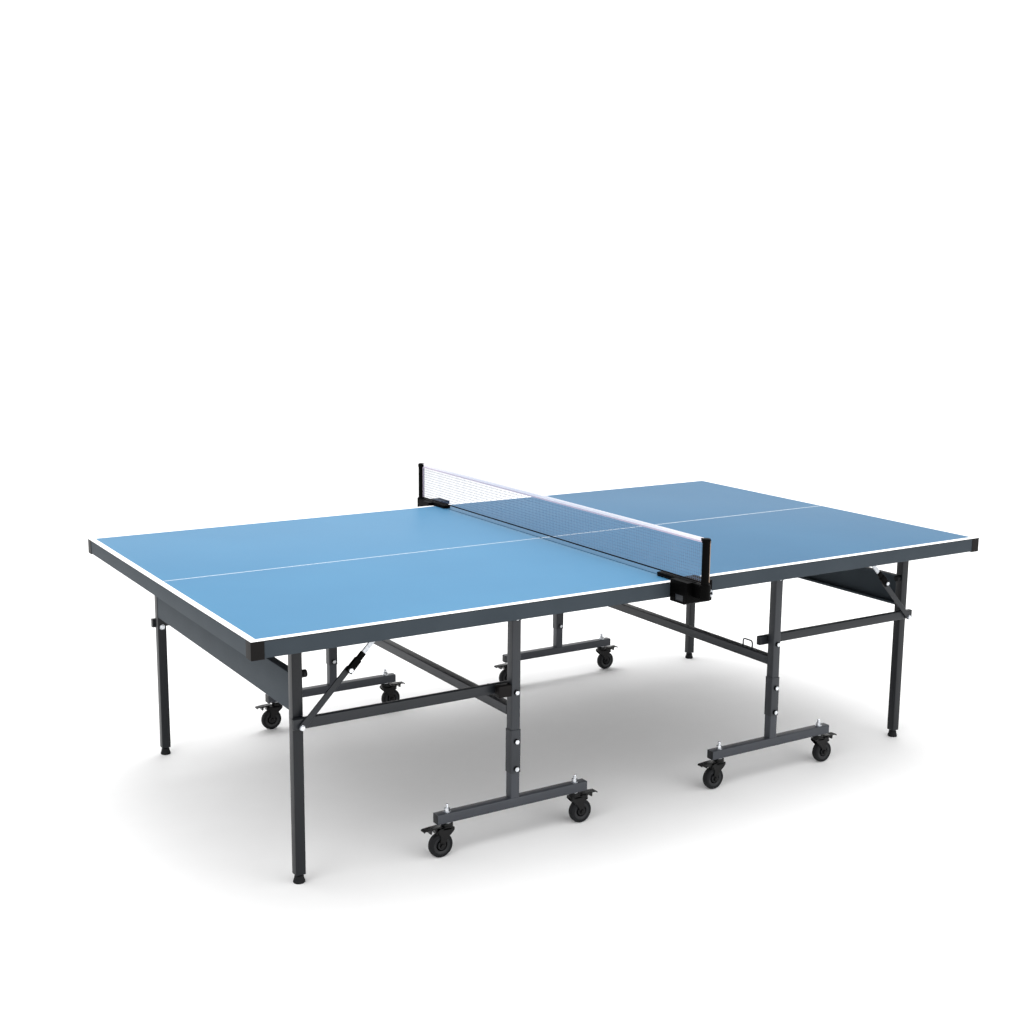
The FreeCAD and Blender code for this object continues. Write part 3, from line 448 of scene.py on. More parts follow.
def wire(bm, points, radius, steps=10):
    """A round wire through points, with parallel sections."""
    points = [Vector(p) for p in points]
    rings = []
    side = None
    for i, here in enumerate(points):
        ahead = points[min(i + 1, len(points) - 1)] - points[max(i - 1, 0)]
        ahead.normalize()
        if side is None:
            side = ahead.orthogonal().normalized()
        side = (side - ahead * side.dot(ahead)).normalized()
        up = ahead.cross(side)
        rings.append([bm.verts.new(here + (side * math.cos(t) + up * math.sin(t)) * radius)
                      for t in (2 * math.pi * k / steps for k in range(steps))])
    skin(bm, rings)


def swept_ring(bm, profile, low, high):
    """A closed profile of (inset, height) carried round a rectangle with mitred corners."""
    corners = [((low.x, low.y), (1, 1)), ((high.x, low.y), (-1, 1)), ((high.x, high.y), (-1, -1)),
               ((low.x, high.y), (1, -1))]
    rings = [[bm.verts.new((cx + sx * inset, cy + sy * inset, z)) for inset, z in profile]
             for (cx, cy), (sx, sy) in corners]
    for first, second in zip(rings, rings[1:] + rings[:1]):
        bridge(bm, first, second)


# ---------------------------------------------------------------- playing surface
def make_top(half, sx):
    """The painted board on its core, and the folded apron round it."""
    node = f"playing_board_{half}"
    low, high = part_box(node)
    rim, inset = 0.003, 0.0035
    bm = bmesh.new()
    block(bm, (low.x, low.y, high.z - rim), high, bevel=0.0007, steps=3)
    stand_in(node, f"board_surface_{half}", bm, PAINT[half])
    bm = bmesh.new()
    block(bm, (low.x + inset, low.y + inset, low.z), (high.x - inset, high.y - inset, high.z - rim),
          bevel=0.0)
    finish_piece(f"board_core_{half}", bm, NODE_BODY[node], CORE)

    node = f"apron_frame_{half}"
    low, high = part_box(node)
    bend, lip = 0.0022, 0.018
    profile = [(0.0, high.z), (0.0, low.z + bend), (bend * 0.3, low.z + bend * 0.3), (bend, low.z),
               (lip, low.z), (lip, low.z + WALL), (bend, low.z + WALL), (WALL, low.z + bend), (WALL, high.z)]
    bm = bmesh.new()
    swept_ring(bm, profile, low, high)
    stand_in(node, f"apron_{half}", bm, SLATE)
    make_caps(half, sx)
    make_brackets(half, sx)


def make_caps(half, sx):
    """Moulded corner caps, an L in plan with a floor under the apron's lip."""
    low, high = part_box(f"corner_caps_{half}")
    side = high.x - low.x
    end = high.x if sx > 0 else low.x
    thick, radius = 0.0012, 0.0030
    bm = bmesh.new()
    for sy in SIDES.values():
        corner = Vector((end, high.y * sy, 0))
        outer, inner = [], []
        for step in range(7):
            turn = math.radians(90 * step / 6)
            outer.append((radius - radius * math.cos(turn), radius - radius * math.sin(turn)))
            reach = radius - thick
            inner.append((radius - reach * math.cos(turn), radius - reach * math.sin(turn)))
        outline = [(0.0, side)] + outer + [(side, 0.0), (side, thick)] + inner[::-1] + [(thick, side)]
        u, v = Vector((-sx, 0, 0)), Vector((0, -sy, 0))
        outline_plate(bm, outline, corner + Vector((0, 0, (low.z + high.z) / 2)), u, v, Vector((0, 0, 1)),
                      high.z - low.z, bevel=0.0003)
        floor_outline = [(thick * 0.5, side)] + [(a + 0.0004, b + 0.0004) for a, b in outer] + \
            [(side, thick * 0.5), (side, side)]
        outline_plate(bm, floor_outline, corner + Vector((0, 0, low.z + 0.0009)), u, v, Vector((0, 0, 1)),
                      0.0018, bevel=0.0003)
    stand_in(f"corner_caps_{half}", f"corner_cap_{half}", bm, CAP_BLACK)


def ear_plate(bm, x, y, top, pivot, width, thickness, drop):
    """A bracket ear: square at the board and round below the pivot."""
    half = width / 2
    points = [(-half, top), (half, top), (half, pivot + 0.004)]
    points += [(half * math.cos(math.radians(a)), pivot - drop * math.sin(math.radians(a)))
               for a in range(10, 171, 20)]
    points.append((-half, pivot + 0.004))
    outline_plate(bm, [(a, b) for a, b in points[::-1]], (x, y, 0), Vector((1, 0, 0)), Vector((0, 0, 1)),
                  Vector((0, 1, 0)), thickness, bevel=0.0003)


def make_brackets(half, sx):
    """Hinge and hanger brackets under the board, with bolts."""
    board_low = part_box(f"playing_board_{half}")[0].z
    ear, gap, width, drop = 0.0025, 0.0005, 0.036, 0.014
    bm = bmesh.new()
    for sy in SIDES.values():
        for (x, y), flat in ((inner_place(half), True), (outer_place(half), False)):
            reach = TUBE / 2 + gap
            block(bm, (x - 0.032, sy * y - reach - ear, board_low - ear),
                  (x + 0.032, sy * y + reach + ear, board_low), bevel=0.0006)
            for side in (-1, 1):
                ear_plate(bm, x, sy * y + side * (reach + ear / 2), board_low - ear / 2, TOP_PIVOT, width,
                          ear, drop)
            bolt(bm, (x, sy * (y + reach + ear), TOP_PIVOT), "Y", sy, index=1)
            if flat:
                lathe(bm, [(0, 0), (0.007, 0), (0.0066, -sy * 0.0014), (0.003, -sy * 0.002),
                           (0, -sy * 0.002)], (x, sy * (y - reach - ear), TOP_PIVOT), "Y", 24, 1)
            else:
                bolt(bm, (x, sy * (y - reach - ear), TOP_PIVOT), "Y", -sy, index=1)
            for screw_x in (-0.026, 0.026):
                lathe(bm, [(0, 0), (0.004, 0), (0.0032, -0.0016), (0, -0.0022)],
                      (x + screw_x, sy * y, board_low - ear), "Z", 16, 1)
        hang_x, face = sx * HANGER_X, 0.643
        ear_plate(bm, hang_x, sy * (face + ear / 2), board_low - ear / 2, STAY_TOP, width, ear, drop)
        foot = sorted((sy * face, sy * (face + 0.018)))
        block(bm, (hang_x - 0.018, foot[0], board_low - ear), (hang_x + 0.018, foot[1], board_low),
              bevel=0.0006)
        bolt(bm, (hang_x, sy * (face + ear), STAY_TOP), "Y", sy, index=1)
        lathe(bm, [(0, 0), (0.007, 0), (0.0066, -sy * 0.0014), (0, -sy * 0.002)],
              (hang_x, sy * 0.637, STAY_TOP), "Y", 24, 1)
    stand_in(f"top_brackets_{half}", f"bracket_set_{half}", bm, [CHARCOAL, ZINC])


def inner_place(half):
    """Where a half's inner legs stand, along the table and out from its middle line."""
    low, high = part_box(f"leg_sleeves_{half}")
    return (low.x + high.x) / 2, high.y - SLEEVE / 2


def outer_place(half):
    """Where a half's outer legs stand, along the table and out from its middle line."""
    low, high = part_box(f"outer_legs_{half}")
    return (low.x + high.x) / 2, high.y - TUBE / 2


def plug(bm, centre, axis, outward, width=TUBE, height=TUBE, thick=0.003):
    """A domed plastic end plug just inside and over a tube's open end."""
    u, v, along = frame_axes(axis)
    way = along * outward
    section = rounded_section(width, height, 0.0032)
    centre = Vector(centre)
    rings = []
    for at, share in ((-0.004, 0.88), (0.0, 0.88), (0.0, 0.985), (thick * 0.6, 0.975), (thick, 0.86)):
        rings.append([bm.verts.new(centre + way * at + (u * a + v * b) * share) for a, b in section])
    skin(bm, rings, 1)


# ---------------------------------------------------------------- wheeled base
def make_base(half):
    """A half's two fixed legs, cross beam and wire loops, with sleeves and caster beams."""
    leg_x, leg_y = inner_place(half)
    node = f"inner_frame_{half}"
    low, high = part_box(node)
    cross_z = 0.402
    bm = bmesh.new()
    for sy in SIDES.values():
        tube(bm, "Z", (leg_x, sy * leg_y, (low.z + high.z) / 2), high.z - low.z)
        plug(bm, (leg_x, sy * leg_y, high.z - 0.001), "Z", 1, thick=0.001)
    tube(bm, "Y", (leg_x, 0, cross_z), 2 * leg_y - TUBE + 0.001)
    for sy in SIDES.values():
        for x in (-1, 1):
            weld_line(bm, leg_x + x * TUBE / 2, sy * (leg_y - TUBE / 2), cross_z)
        loop_y, bend, rise, span = sy * 0.516, 0.009, 0.027, 0.046
        points = [(leg_x, loop_y - span / 2, cross_z + TUBE / 2 - 0.001)]
        for start, centre_y in ((180, loop_y - span / 2 + bend), (90, loop_y + span / 2 - bend)):
            for step in range(7):
                turn = math.radians(start - 90 * step / 6)
                points.append((leg_x, centre_y + bend * math.cos(turn),
                               cross_z + TUBE / 2 + rise - bend + bend * math.sin(turn)))
        points.append((leg_x, loop_y + span / 2, cross_z + TUBE / 2 - 0.001))
        wire(bm, points, 0.0025, 12)
    if half == "left":
        for sy in SIDES.values():
            inner = leg_x - TUBE / 2
            outer = low.x
            y = sorted((sy * 0.634, sy * leg_y + sy * TUBE / 2))
            guide_low, guide_high = 0.452, 0.488
            block(bm, (outer, y[0], guide_low), (inner, y[1], guide_high), bevel=0.003, steps=3, index=1)
            for z in (guide_low + 0.0085, guide_high - 0.0085):
                block(bm, (outer + 0.004, y[0] - 0.0002, z - 0.001),
                      (inner - 0.004, y[1] + 0.0002, z + 0.001), bevel=0.0004, index=1)
    stand_in(node, f"upright_frame_{half}", bm, [CHARCOAL, CAP_BLACK])

    node = f"leg_sleeves_{half}"
    low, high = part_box(node)
    bm = bmesh.new()
    for sy in SIDES.values():
        tube(bm, "Z", (leg_x, sy * leg_y, (low.z + high.z) / 2), high.z - low.z, SLEEVE, SLEEVE,
             0.0034, 0.0019)
    stand_in(node, f"sleeve_pair_{half}", bm, CHARCOAL)

    node = f"caster_beams_{half}"
    low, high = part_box(node)
    bm = bmesh.new()
    for sy in SIDES.values():
        y = sy * leg_y
        tube(bm, "X", (leg_x, y, low.z + TUBE / 2), high.x - low.x)
        tube(bm, "Z", (leg_x, y, (low.z + TUBE + high.z) / 2), high.z - low.z - TUBE)
        for x, way in ((low.x, -1), (high.x, 1)):
            plug(bm, (x - way * 0.002, y, low.z + TUBE / 2), "X", way, thick=0.002)
    stand_in(node, f"beam_pair_{half}", bm, [CHARCOAL_LIT, PLUG])
    make_base_bolts(half)


def weld_line(bm, x, y, z):
    """A small weld bead down the joint of a beam and a leg."""
    points = [(x, y, z - TUBE / 2 + 0.002 + 0.0026 * k) for k in range(11)]
    wire(bm, points, 0.0012, 8)


def make_base_bolts(half):
    """Rail pivots, sleeve bolts, and the casters' stems with their nuts."""
    leg_x, leg_y = inner_place(half)
    beam_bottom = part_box(f"caster_beams_{half}")[0].z
    beam_top = beam_bottom + TUBE
    stem_top = beam_top + 0.024
    spacer_y, nut_y, seat_lift = 0.6245, 0.6055, 0.004
    bm = bmesh.new()
    for sy in SIDES.values():
        bolt(bm, (leg_x, sy * (leg_y + TUBE / 2), PIVOT), "Y", sy, height=0.009, washer=0.008, seat=1,
             lift=seat_lift)
        collar(bm, 0.0041, 0.008, sy * 0.0055, (leg_x, sy * spacer_y, PIVOT))
        bolt(bm, (leg_x, sy * nut_y, PIVOT), "Y", -sy)
        rod(bm, 0.0039, 0, sy * 0.05, (leg_x, sy * 0.606, PIVOT), "Y")
        for z in SLEEVE_BOLTS:
            for face in (1, -1):
                bolt(bm, (leg_x, sy * leg_y + face * SLEEVE / 2, z), "Y", face, height=0.009, washer=0.008,
                     seat=1, lift=seat_lift)
        for spot in (1, -1):
            x = leg_x + spot * SWIVEL
            lathe(bm, [(0, 0.079), (0.0072, 0.079), (0.008, 0.080), (0.008, 0.0828), (0.005, 0.0832),
                       (0.005, 0.102), (0.013, 0.1022), (0.013, beam_bottom), (0.005, beam_bottom + 0.0002),
                       (0.005, stem_top - 0.0015), (0.0042, stem_top), (0, stem_top)],
                  (x, sy * leg_y, 0), "Z", 28)
            for k in range(9):
                lathe(bm, [(0.0049, 0), (0.0054, 0.0005), (0.0049, 0.001)],
                      (x, sy * leg_y, beam_top + 0.0123 + 0.0011 * k), "Z", 20)
            rod(bm, 0.0115, 0, 0.0014, (x, sy * leg_y, beam_top), "Z", 28)
            hexagon(bm, (x, sy * leg_y, beam_top + 0.0067), "Z", 0.0092, 0.0106)
    stand_in(f"base_bolts_{half}", f"fasteners_{half}", bm, [ZINC, BLACK])


# ---------------------------------------------------------------- outer legs, rails and stays
def make_outer(half, sx):
    """The folding outer legs with the end panel between them, and their buffers."""
    outer_x, outer_y = outer_place(half)
    node = f"outer_legs_{half}"
    low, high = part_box(node)
    bm = bmesh.new()
    for sy in SIDES.values():
        tube(bm, "Z", (outer_x, sy * outer_y, (low.z + high.z) / 2), high.z - low.z)
        plug(bm, (outer_x, sy * outer_y, high.z - 0.001), "Z", 1, thick=0.001)
        plug(bm, (outer_x, sy * outer_y, low.z + 0.0012), "Z", -1, thick=0.0012)
    stand_in(node, f"outer_leg_pair_{half}", bm, [CHARCOAL_DEEP_SHADE, PLUG])

    node = f"end_panel_{half}"
    low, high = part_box(node)
    sheet, bend, lip = WALL, 0.002, 0.008
    face, back = (high.x, low.x) if sx > 0 else (low.x, high.x)
    depth = abs(face - back)
    profile = [(0, low.z + bend), (0, high.z - bend), (bend * 0.3, high.z - bend * 0.3), (bend, high.z),
               (depth, high.z), (depth, high.z - lip), (depth - sheet, high.z - lip),
               (depth - sheet, high.z - sheet), (sheet, high.z - sheet), (sheet, low.z + sheet),
               (depth - sheet, low.z + sheet), (depth - sheet, low.z + lip), (depth, low.z + lip),
               (depth, low.z), (bend, low.z), (bend * 0.3, low.z + bend * 0.3)]
    bm = bmesh.new()
    prism(bm, profile, Vector((face, low.y, 0)), Vector((-sx, 0, 0)), Vector((0, 0, 1)), Vector((0, 1, 0)),
          high.y - low.y)
    stand_in(node, f"panel_{half}", bm, SLATE, angle=50)

    node = f"leg_buffers_{half}"
    low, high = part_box(node)
    radius = (high.z - low.z) / 2
    base = high.x if sx > 0 else low.x
    length = high.x - low.x
    bm = bmesh.new()
    for sy in SIDES.values():
        lathe(bm, [(0, 0), (radius * 0.8, 0), (radius * 0.8, -sx * length * 0.2),
                   (radius, -sx * length * 0.3), (radius, -sx * length * 0.82),
                   (radius * 0.92, -sx * length * 0.95),
                   (radius * 0.72, -sx * length), (0, -sx * length)],
              (base, sy * outer_y, (low.z + high.z) / 2), "X", 32)
    stand_in(node, f"buffer_pair_{half}", bm, RUBBER)

    for side in SIDES:
        make_foot(half, side)
    make_rails(half)
    make_stays(half, sx)


def make_foot(half, side):
    """A levelling foot: a rubber pad, a plain stem and a nut."""
    node = f"levelling_foot_{half}_{side}"
    low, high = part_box(node)
    middle = (low + high) / 2
    radius = (high.x - low.x) / 2
    bm = bmesh.new()
    spot = (middle.x, middle.y, 0)
    lathe(bm, [(0, 0.0006), (radius * 0.5, 0.0006), (radius * 0.55, 0), (radius - 0.0012, 0),
               (radius, 0.0014), (radius, 0.005), (radius - 0.0006, 0.0062), (radius - 0.003, 0.014),
               (0.0132, 0.0195), (0.0122, 0.0215), (0.0105, 0.022), (0, 0.022)],
          spot, "Z", 40, 0)
    rod(bm, 0.0038, 0.021, high.z, spot, "Z", index=1)
    hexagon(bm, (middle.x, middle.y, 0.0235), "Z", 0.0062, 0.0022, 1)
    stand_in(node, f"foot_{half}_{side}", bm, [RUBBER, ZINC])


def make_rails(half):
    """Side rails from the inner to the outer legs, with the outer legs' bolts and spacers."""
    outer_x = outer_place(half)[0]
    node = f"side_rails_{half}"
    low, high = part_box(node)
    rail_z, thick, tall = 0.470, 0.018, 0.030
    head_y, spacer_y, nut_y = 0.6325, 0.624, 0.573
    bm = bmesh.new()
    for sy in SIDES.values():
        y = sy * RAIL_Y
        tube(bm, "X", ((low.x + high.x) / 2, y, rail_z), high.x - low.x, thick, tall)
        for x, way in ((low.x, -1), (high.x, 1)):
            plug(bm, (x - way * 0.002, y, rail_z), "X", way, thick, tall, thick=0.002)
        bolt(bm, (outer_x, sy * head_y, PIVOT), "Y", sy, washer=0.0078, index=2)
        bolt(bm, (outer_x, sy * nut_y, PIVOT), "Y", -sy, index=2)
        rod(bm, 0.0039, 0, sy * 0.06, (outer_x, sy * nut_y, PIVOT), "Y", index=2)
        collar(bm, 0.0041, 0.0075, sy * 0.0026, (outer_x, sy * spacer_y, PIVOT), 2)
    stand_in(node, f"rail_pair_{half}", bm, [CHARCOAL_SHADED, PLUG, ZINC])


def make_stays(half, sx):
    """Folding stays: a flat lower bar, and a zinc strap in a stepped black cover above the knee."""
    reach_low, reach_up, thick = 0.200, 0.169177, 0.005
    lower_y, upper_y, knee_y = 0.6295, 0.640, 0.646
    pivot = Vector((outer_place(half)[0], 0, PIVOT))
    hang = Vector((sx * HANGER_X, 0, STAY_TOP))
    along = (hang - pivot).normalized()
    out = Vector((0, 1, 0))
    across = out.cross(along)
    def round_end(at, radius, start):
        return [(at + radius * math.cos(math.radians(a)), radius * math.sin(math.radians(a)))
                for a in range(start, start + 181, 15)]
    bm = bmesh.new()
    for sy in SIDES.values():
        points = round_end(0, 0.009, 90) + round_end(reach_low, 0.009, -90)
        outline_plate(bm, points, pivot + out * sy * lower_y, along, across, out, thick, bevel=0.0006)
        rod(bm, 0.007, 0, sy * 0.0012, pivot + along * reach_low + out * sy * (lower_y + thick / 2), "Y",
            24, 1)
    stand_in(f"lower_stays_{half}", f"lower_stay_pair_{half}", bm, [CHARCOAL_SHADED, ZINC])

    knee = hang - along * reach_up
    bm = bmesh.new()
    for sy in SIDES.values():
        middle = out * sy * upper_y
        points = round_end(reach_up, 0.007, -90) + [(0.02, 0.007), (0.02, -0.007)]
        outline_plate(bm, points, knee + middle, along, across, out, thick, bevel=0.0006)
        for start, stop, wide, deep, corner in ((-0.008, 0.037, 0.022, 0.012, 0.003),
                                                (0.036, 0.060, 0.017, 0.009, 0.002)):
            section = rounded_section(wide, deep, corner)
            prism(bm, section, knee + middle + along * start, across, out, along, stop - start, bevel=0.001,
                  index=1)
        bolt(bm, knee + out * sy * knee_y, "Y", sy, washer=0.0066, index=2)
    stand_in(f"upper_stays_{half}", f"upper_stay_pair_{half}", bm, [STRAP, BLACK, ZINC])


# ---------------------------------------------------------------- casters
def make_caster(half, sx, side, sy, spot, outward):
    """One caster; its wheel trails away from the leg."""
    leg_x, leg_y = inner_place(half)
    name = f"{half}_{side}_{spot}"
    way = sx * outward
    x, y = leg_x + way * SWIVEL, sy * leg_y
    u, v, out = Vector((way, 0, 0)), Vector((0, 0, 1)), Vector((0, 1, 0))
    make_fork(name, x, y, u, v, out)
    make_wheel(name, x + way * TRAIL, y)
    make_pedal(name, x, y, u, v, out)


def make_fork(name, x, y, u, v, out):
    """A pressed steel fork: two shaped cheeks, a crown, two bearing races, the axle and its nuts."""
    node = f"caster_fork_{name}"
    bm = bmesh.new()
    cheek = [(-0.0175, 0.0895), (-0.0178, 0.081), (-0.012, 0.074), (0.004, 0.060), (0.0110, 0.0460),
             (0.0128, 0.0360), (0.0145, 0.0312), (0.0178, 0.0286), (0.0220, 0.0278), (0.0262, 0.0286),
             (0.0295, 0.0312), (0.0308, 0.0360), (0.0290, 0.0500), (0.0275, 0.0650), (0.0300, 0.0715),
             (0.0360, 0.0738), (0.0405, 0.0755), (0.0415, 0.0790), (0.0400, 0.0825), (0.031, 0.0895)]
    origin = Vector((x, y, 0))
    for side in (-1, 1):
        outline_plate(bm, cheek, origin + out * side * 0.01425, u, v, out, 0.0025, bevel=0.0004)
    crown = rounded_section(0.047, 0.031, 0.010, 5)
    prism(bm, crown, origin + u * 0.006 + v * 0.084, u, out, v, 0.006, bevel=0.0008)
    lathe(bm, [(0.00505, 0.0895), (0.0172, 0.0895), (0.018, 0.0905), (0.018, 0.0945), (0.0165, 0.0952),
               (0.0162, 0.0962), (0.0178, 0.0968), (0.0178, 0.1), (0.0165, 0.1013), (0.00505, 0.1013)],
          origin, "Z", 36)
    axle = origin + u * TRAIL + v * AXLE
    lathe(bm, [(0, -0.0195), (0.0034, -0.0195), (0.004, -0.019), (0.004, 0.019), (0.0034, 0.0195),
               (0, 0.0195)], axle, "Y", 20)
    for side in (-1, 1):
        bolt(bm, axle + out * side * 0.0155, "Y", side, height=0.0045, washer=0.0078)
    pin = origin + u * PEDAL_PIN[0] + v * PEDAL_PIN[1]
    rod(bm, 0.0025, -0.0155, 0.0155, pin, "Y", index=1)
    stand_in(node, f"fork_{name}", bm, [FORK, ZINC])


def make_wheel(name, x, y):
    """A wheel with a crowned tyre, a flat rim, a deep groove painted black as shade, and a raised middle
    disc.
    """
    node = f"caster_wheel_{name}"
    low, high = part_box(node)
    radius = (high.z - low.z) / 2
    centre = (x, y, (low.z + high.z) / 2)
    half = 0.011
    bm = bmesh.new()
    tyre = [(0.0265, -half + 0.0004), (0.0285, -half), (0.0332, -half), (0.0352, -half + 0.0008),
            (0.0366, -half + 0.0035), (0.0373, -0.0042), (radius, -0.002), (radius, 0.002), (0.0373, 0.0042),
            (0.0366, half - 0.0035), (0.0352, half - 0.0008), (0.0332, half), (0.0285, half),
            (0.0265, half - 0.0004)]
    lathe(bm, tyre, centre, "Y", 56, 0)
    web = 0.0035
    disc = [(0.00405, -0.012), (0.0118, -0.012), (0.0128, -0.0112), (0.0132, -web), (0.0132, web),
            (0.0128, 0.0112), (0.0118, 0.012), (0.00405, 0.012)]
    lathe(bm, disc, centre, "Y", 48, 1)
    # Painted shade: the groove's floor takes the black plastic, darker than the hub around it, as shade in
    # the recess.
    lathe(bm, [(0.0130, -web), (0.0175, -web), (0.0175, web), (0.0130, web)], centre, "Y", 48, 2)
    rim = [(0.0172, -web), (0.0176, -half + 0.0016), (0.0188, -half + 0.0006), (0.0265, -half + 0.0004),
           (0.0265, half - 0.0004), (0.0188, half - 0.0006), (0.0176, half - 0.0016), (0.0172, web)]
    lathe(bm, rim, centre, "Y", 48, 1)
    stand_in(node, f"wheel_{name}", bm, [RUBBER, HUB, BLACK], angle=40)


def make_pedal(name, x, y, u, v, out):
    """The brake pedal: a bent plate with grip ridges on a barrel."""
    node = f"brake_pedal_{name}"
    bm = bmesh.new()
    origin = Vector((x, y, 0))
    plate = [(0.0205, 0.0938), (0.0215, 0.0954), (0.0235, 0.0960), (0.0500, 0.0950), (0.0770, 0.0932),
             (0.0795, 0.0916), (0.0805, 0.0888), (0.0798, 0.0872), (0.0784, 0.0874), (0.0770, 0.0902),
             (0.0625, 0.0912), (0.0612, 0.0902), (0.0602, 0.0800), (0.0588, 0.0790), (0.0560, 0.0796),
             (0.0548, 0.0880), (0.0500, 0.0912), (0.0455, 0.0900), (0.0425, 0.0790), (0.0400, 0.0748),
             (0.0362, 0.0740), (0.0325, 0.0752), (0.0322, 0.0800), (0.0350, 0.0830), (0.0395, 0.0910),
             (0.0370, 0.0922), (0.0225, 0.0932)]
    outline_plate(bm, plate[::-1], origin, u, v, out, 0.0235, bevel=0.0006)
    lathe(bm, [(0.00255, -0.012), (0.0036, -0.012), (0.004, -0.0116), (0.004, 0.0116), (0.0036, 0.012),
               (0.00255, 0.012)], origin + u * PEDAL_PIN[0] + v * PEDAL_PIN[1], "Y", 24)
    for k in range(6):
        at = 0.0525 + 0.0042 * k
        ridge = rounded_section(0.0014, 0.0012, 0.0004, 2)
        start = origin + u * at + v * (0.0950 - (at - 0.050) * 0.067) - out * 0.0095
        prism(bm, ridge, start, u, v, out, 0.019)
    stand_in(node, f"pedal_{name}", bm, PEDAL)


# ---------------------------------------------------------------- net set
def make_net_clamps():
    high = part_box("net_brackets")[1]
    bm = bmesh.new()
    for sy in SIDES.values():
        make_clamp(bm, sy, high.y - SOCKET, high.z)
    stand_in("net_brackets", "net_clamp_pair", bm, [BLACK, CHARCOAL, ZINC])


def make_clamp(bm, sy, post_y, top):
    """One clamp: a layered arm on the board, a box outside the apron, a socket and a round post."""
    arm_low, arm_top = 0.7605, 0.7725
    def span(a, b):
        return sorted((sy * a, sy * b))
    y = span(0.676, 0.845)
    block(bm, (-0.016, y[0], arm_low), (0.016, y[1], arm_low + 0.0052), bevel=0.0016, steps=3)
    y = span(0.672, 0.845)
    block(bm, (-0.0135, y[0], arm_low + 0.0048), (0.0135, y[1], arm_top), bevel=0.0018, steps=3)
    left, right, inner, outer, floor = -0.034, 0.062, 0.7645, 0.845, 0.704
    bevel = 0.012
    window = ((0.786, 0.826), (0.710, 0.730))
    profile = [(inner, arm_top - 0.0005), (inner, floor), (outer - bevel, floor),
               (outer, floor + bevel * 0.55), (outer, arm_top - 0.0005)]
    box_with_window(bm, profile, window, left, right, sy)
    y = span(window[0][0] - 0.0005, window[0][1] + 0.0005)
    block(bm, (left + 0.003, y[0], window[1][0] - 0.0005), (right - 0.003, y[1], window[1][1] + 0.0005),
          bevel=0.0, index=1)
    y = span(0.840, post_y)
    block(bm, (-0.012, y[0], 0.728), (0.012, y[1], 0.758), bevel=0.002, steps=3)
    block(bm, (-0.0135, y[0], 0.7560), (0.0135, y[1], 0.7715), bevel=0.002, steps=3)
    lathe(bm, [(0, 0.728), (0.0155, 0.728), (SOCKET, 0.7295), (SOCKET, 0.7705), (0.0155, arm_top),
               (0.0122, arm_top), (0.012, 0.7735), (0.012, top - 0.004), (0.0112, top - 0.0008),
               (0.0095, top), (0, top)], (0, sy * post_y, 0), "Z", 40)
    for z in (0.738, 0.752):
        lathe(bm, [(0.0168, z), (0.01705, z + 0.0006), (0.0168, z + 0.0012)], (0, sy * post_y, 0), "Z", 40)
    lathe(bm, [(0, top - 0.014), (0.0128, top - 0.014), (0.0138, top - 0.0125), (0.0134, top - 0.004),
               (0.0118, top - 0.001), (0, top - 0.0006)], (0, sy * post_y, 0), "Z", 40)
    y = span(post_y - 0.021, post_y - 0.010)
    block(bm, (-0.0035, y[0], top - 0.0115), (0.0035, y[1], top - 0.0015), bevel=0.0012)
    y = span(post_y + 0.009, post_y + 0.0155)
    block(bm, (-0.003, y[0], top - 0.0075), (0.003, y[1], top - 0.0012), bevel=0.0012)


def box_with_window(bm, profile, window, left, right, sy):
    """The clamp's box, a profile in Y and Z pushed along X, with a rectangular window right through."""
    (y0, y1), (z0, z1) = window
    inner, outer = profile[0][0], profile[-1][0]
    top = profile[0][1]
    floor = profile[1][1]
    bevel_start = profile[2][0]
    bevel_z = profile[3][1]
    def ring(points, x):
        return [bm.verts.new((x, sy * a, b)) for a, b in points]
    outline = [(inner, top), (inner, z1), (inner, z0), (inner, floor), (y0, floor), (y1, floor),
               (bevel_start, floor), (outer, bevel_z), (outer, z1), (outer, top), (y1, top), (y0, top)]
    hole = [(y0, z1), (y0, z0), (y1, z0), (y1, z1)]
    ends = []
    for x in (left, right):
        ends.append((ring(outline, x), ring(hole, x)))
    bridge(bm, ends[0][0], ends[1][0])
    bridge(bm, ends[0][1], ends[1][1])
    for rim, gap in ends:
        patches = [(rim[0], rim[1], gap[0], rim[11]), (rim[1], rim[2], gap[1], gap[0]),
                   (rim[2], rim[3], rim[4], gap[1]), (gap[1], rim[4], rim[5], gap[2]),
                   (gap[2], rim[5], rim[6], rim[7]), (gap[3], gap[2], rim[7], rim[8]),
                   (gap[3], rim[8], rim[9], rim[10]), (gap[0], gap[3], rim[10], rim[11])]
        for patch in patches:
            bm.faces.new(patch)


def make_screw(side, sy):
    """A clamp's thumb screw: a pad, a thread and a lobed knob."""
    node = f"clamp_screw_{side}"
    low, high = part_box(node)
    middle = (low + high) / 2
    tip = low.y if sy > 0 else high.y
    end = high.y if sy > 0 else low.y
    bm = bmesh.new()
    lathe(bm, [(0, 0), (0.0066, 0), (0.007, sy * 0.0003), (0.0066, sy * 0.001), (0, sy * 0.001)],
          (middle.x, tip, middle.z), "Y", 28, 0)
    length = abs(end - tip)
    thread = [(0, sy * 0.0009)]
    for k in range(int((length - 0.016) / 0.0015)):
        thread += [(0.00265, sy * (0.0012 + 0.0015 * k)), (0.003, sy * (0.0018 + 0.0015 * k))]
    thread.append((0, sy * (length - 0.014)))
    lathe(bm, thread, (middle.x, tip, middle.z), "Y", 20, 0)
    knob = []
    for k in range(48):
        turn = 2 * math.pi * k / 48
        reach = 0.0094 + 0.0016 * math.cos(6 * turn)
        knob.append((reach * math.cos(turn), reach * math.sin(turn)))
    u, v, along = frame_axes("Y")
    start = Vector((middle.x, min(end, end - sy * 0.014), middle.z))
    prism(bm, knob, start, u, v, along, 0.014, bevel=0.0014, index=1)
    lathe(bm, [(0, sy * 0.0002), (0.0045, sy * 0.0002), (0.0045, -sy * 0.001), (0, -sy * 0.001)],
          (middle.x, end - sy * 0.0002, middle.z), "Y", 24, 0)
    stand_in(node, f"thumb_screw_{side}", bm, [ZINC, STRAP])


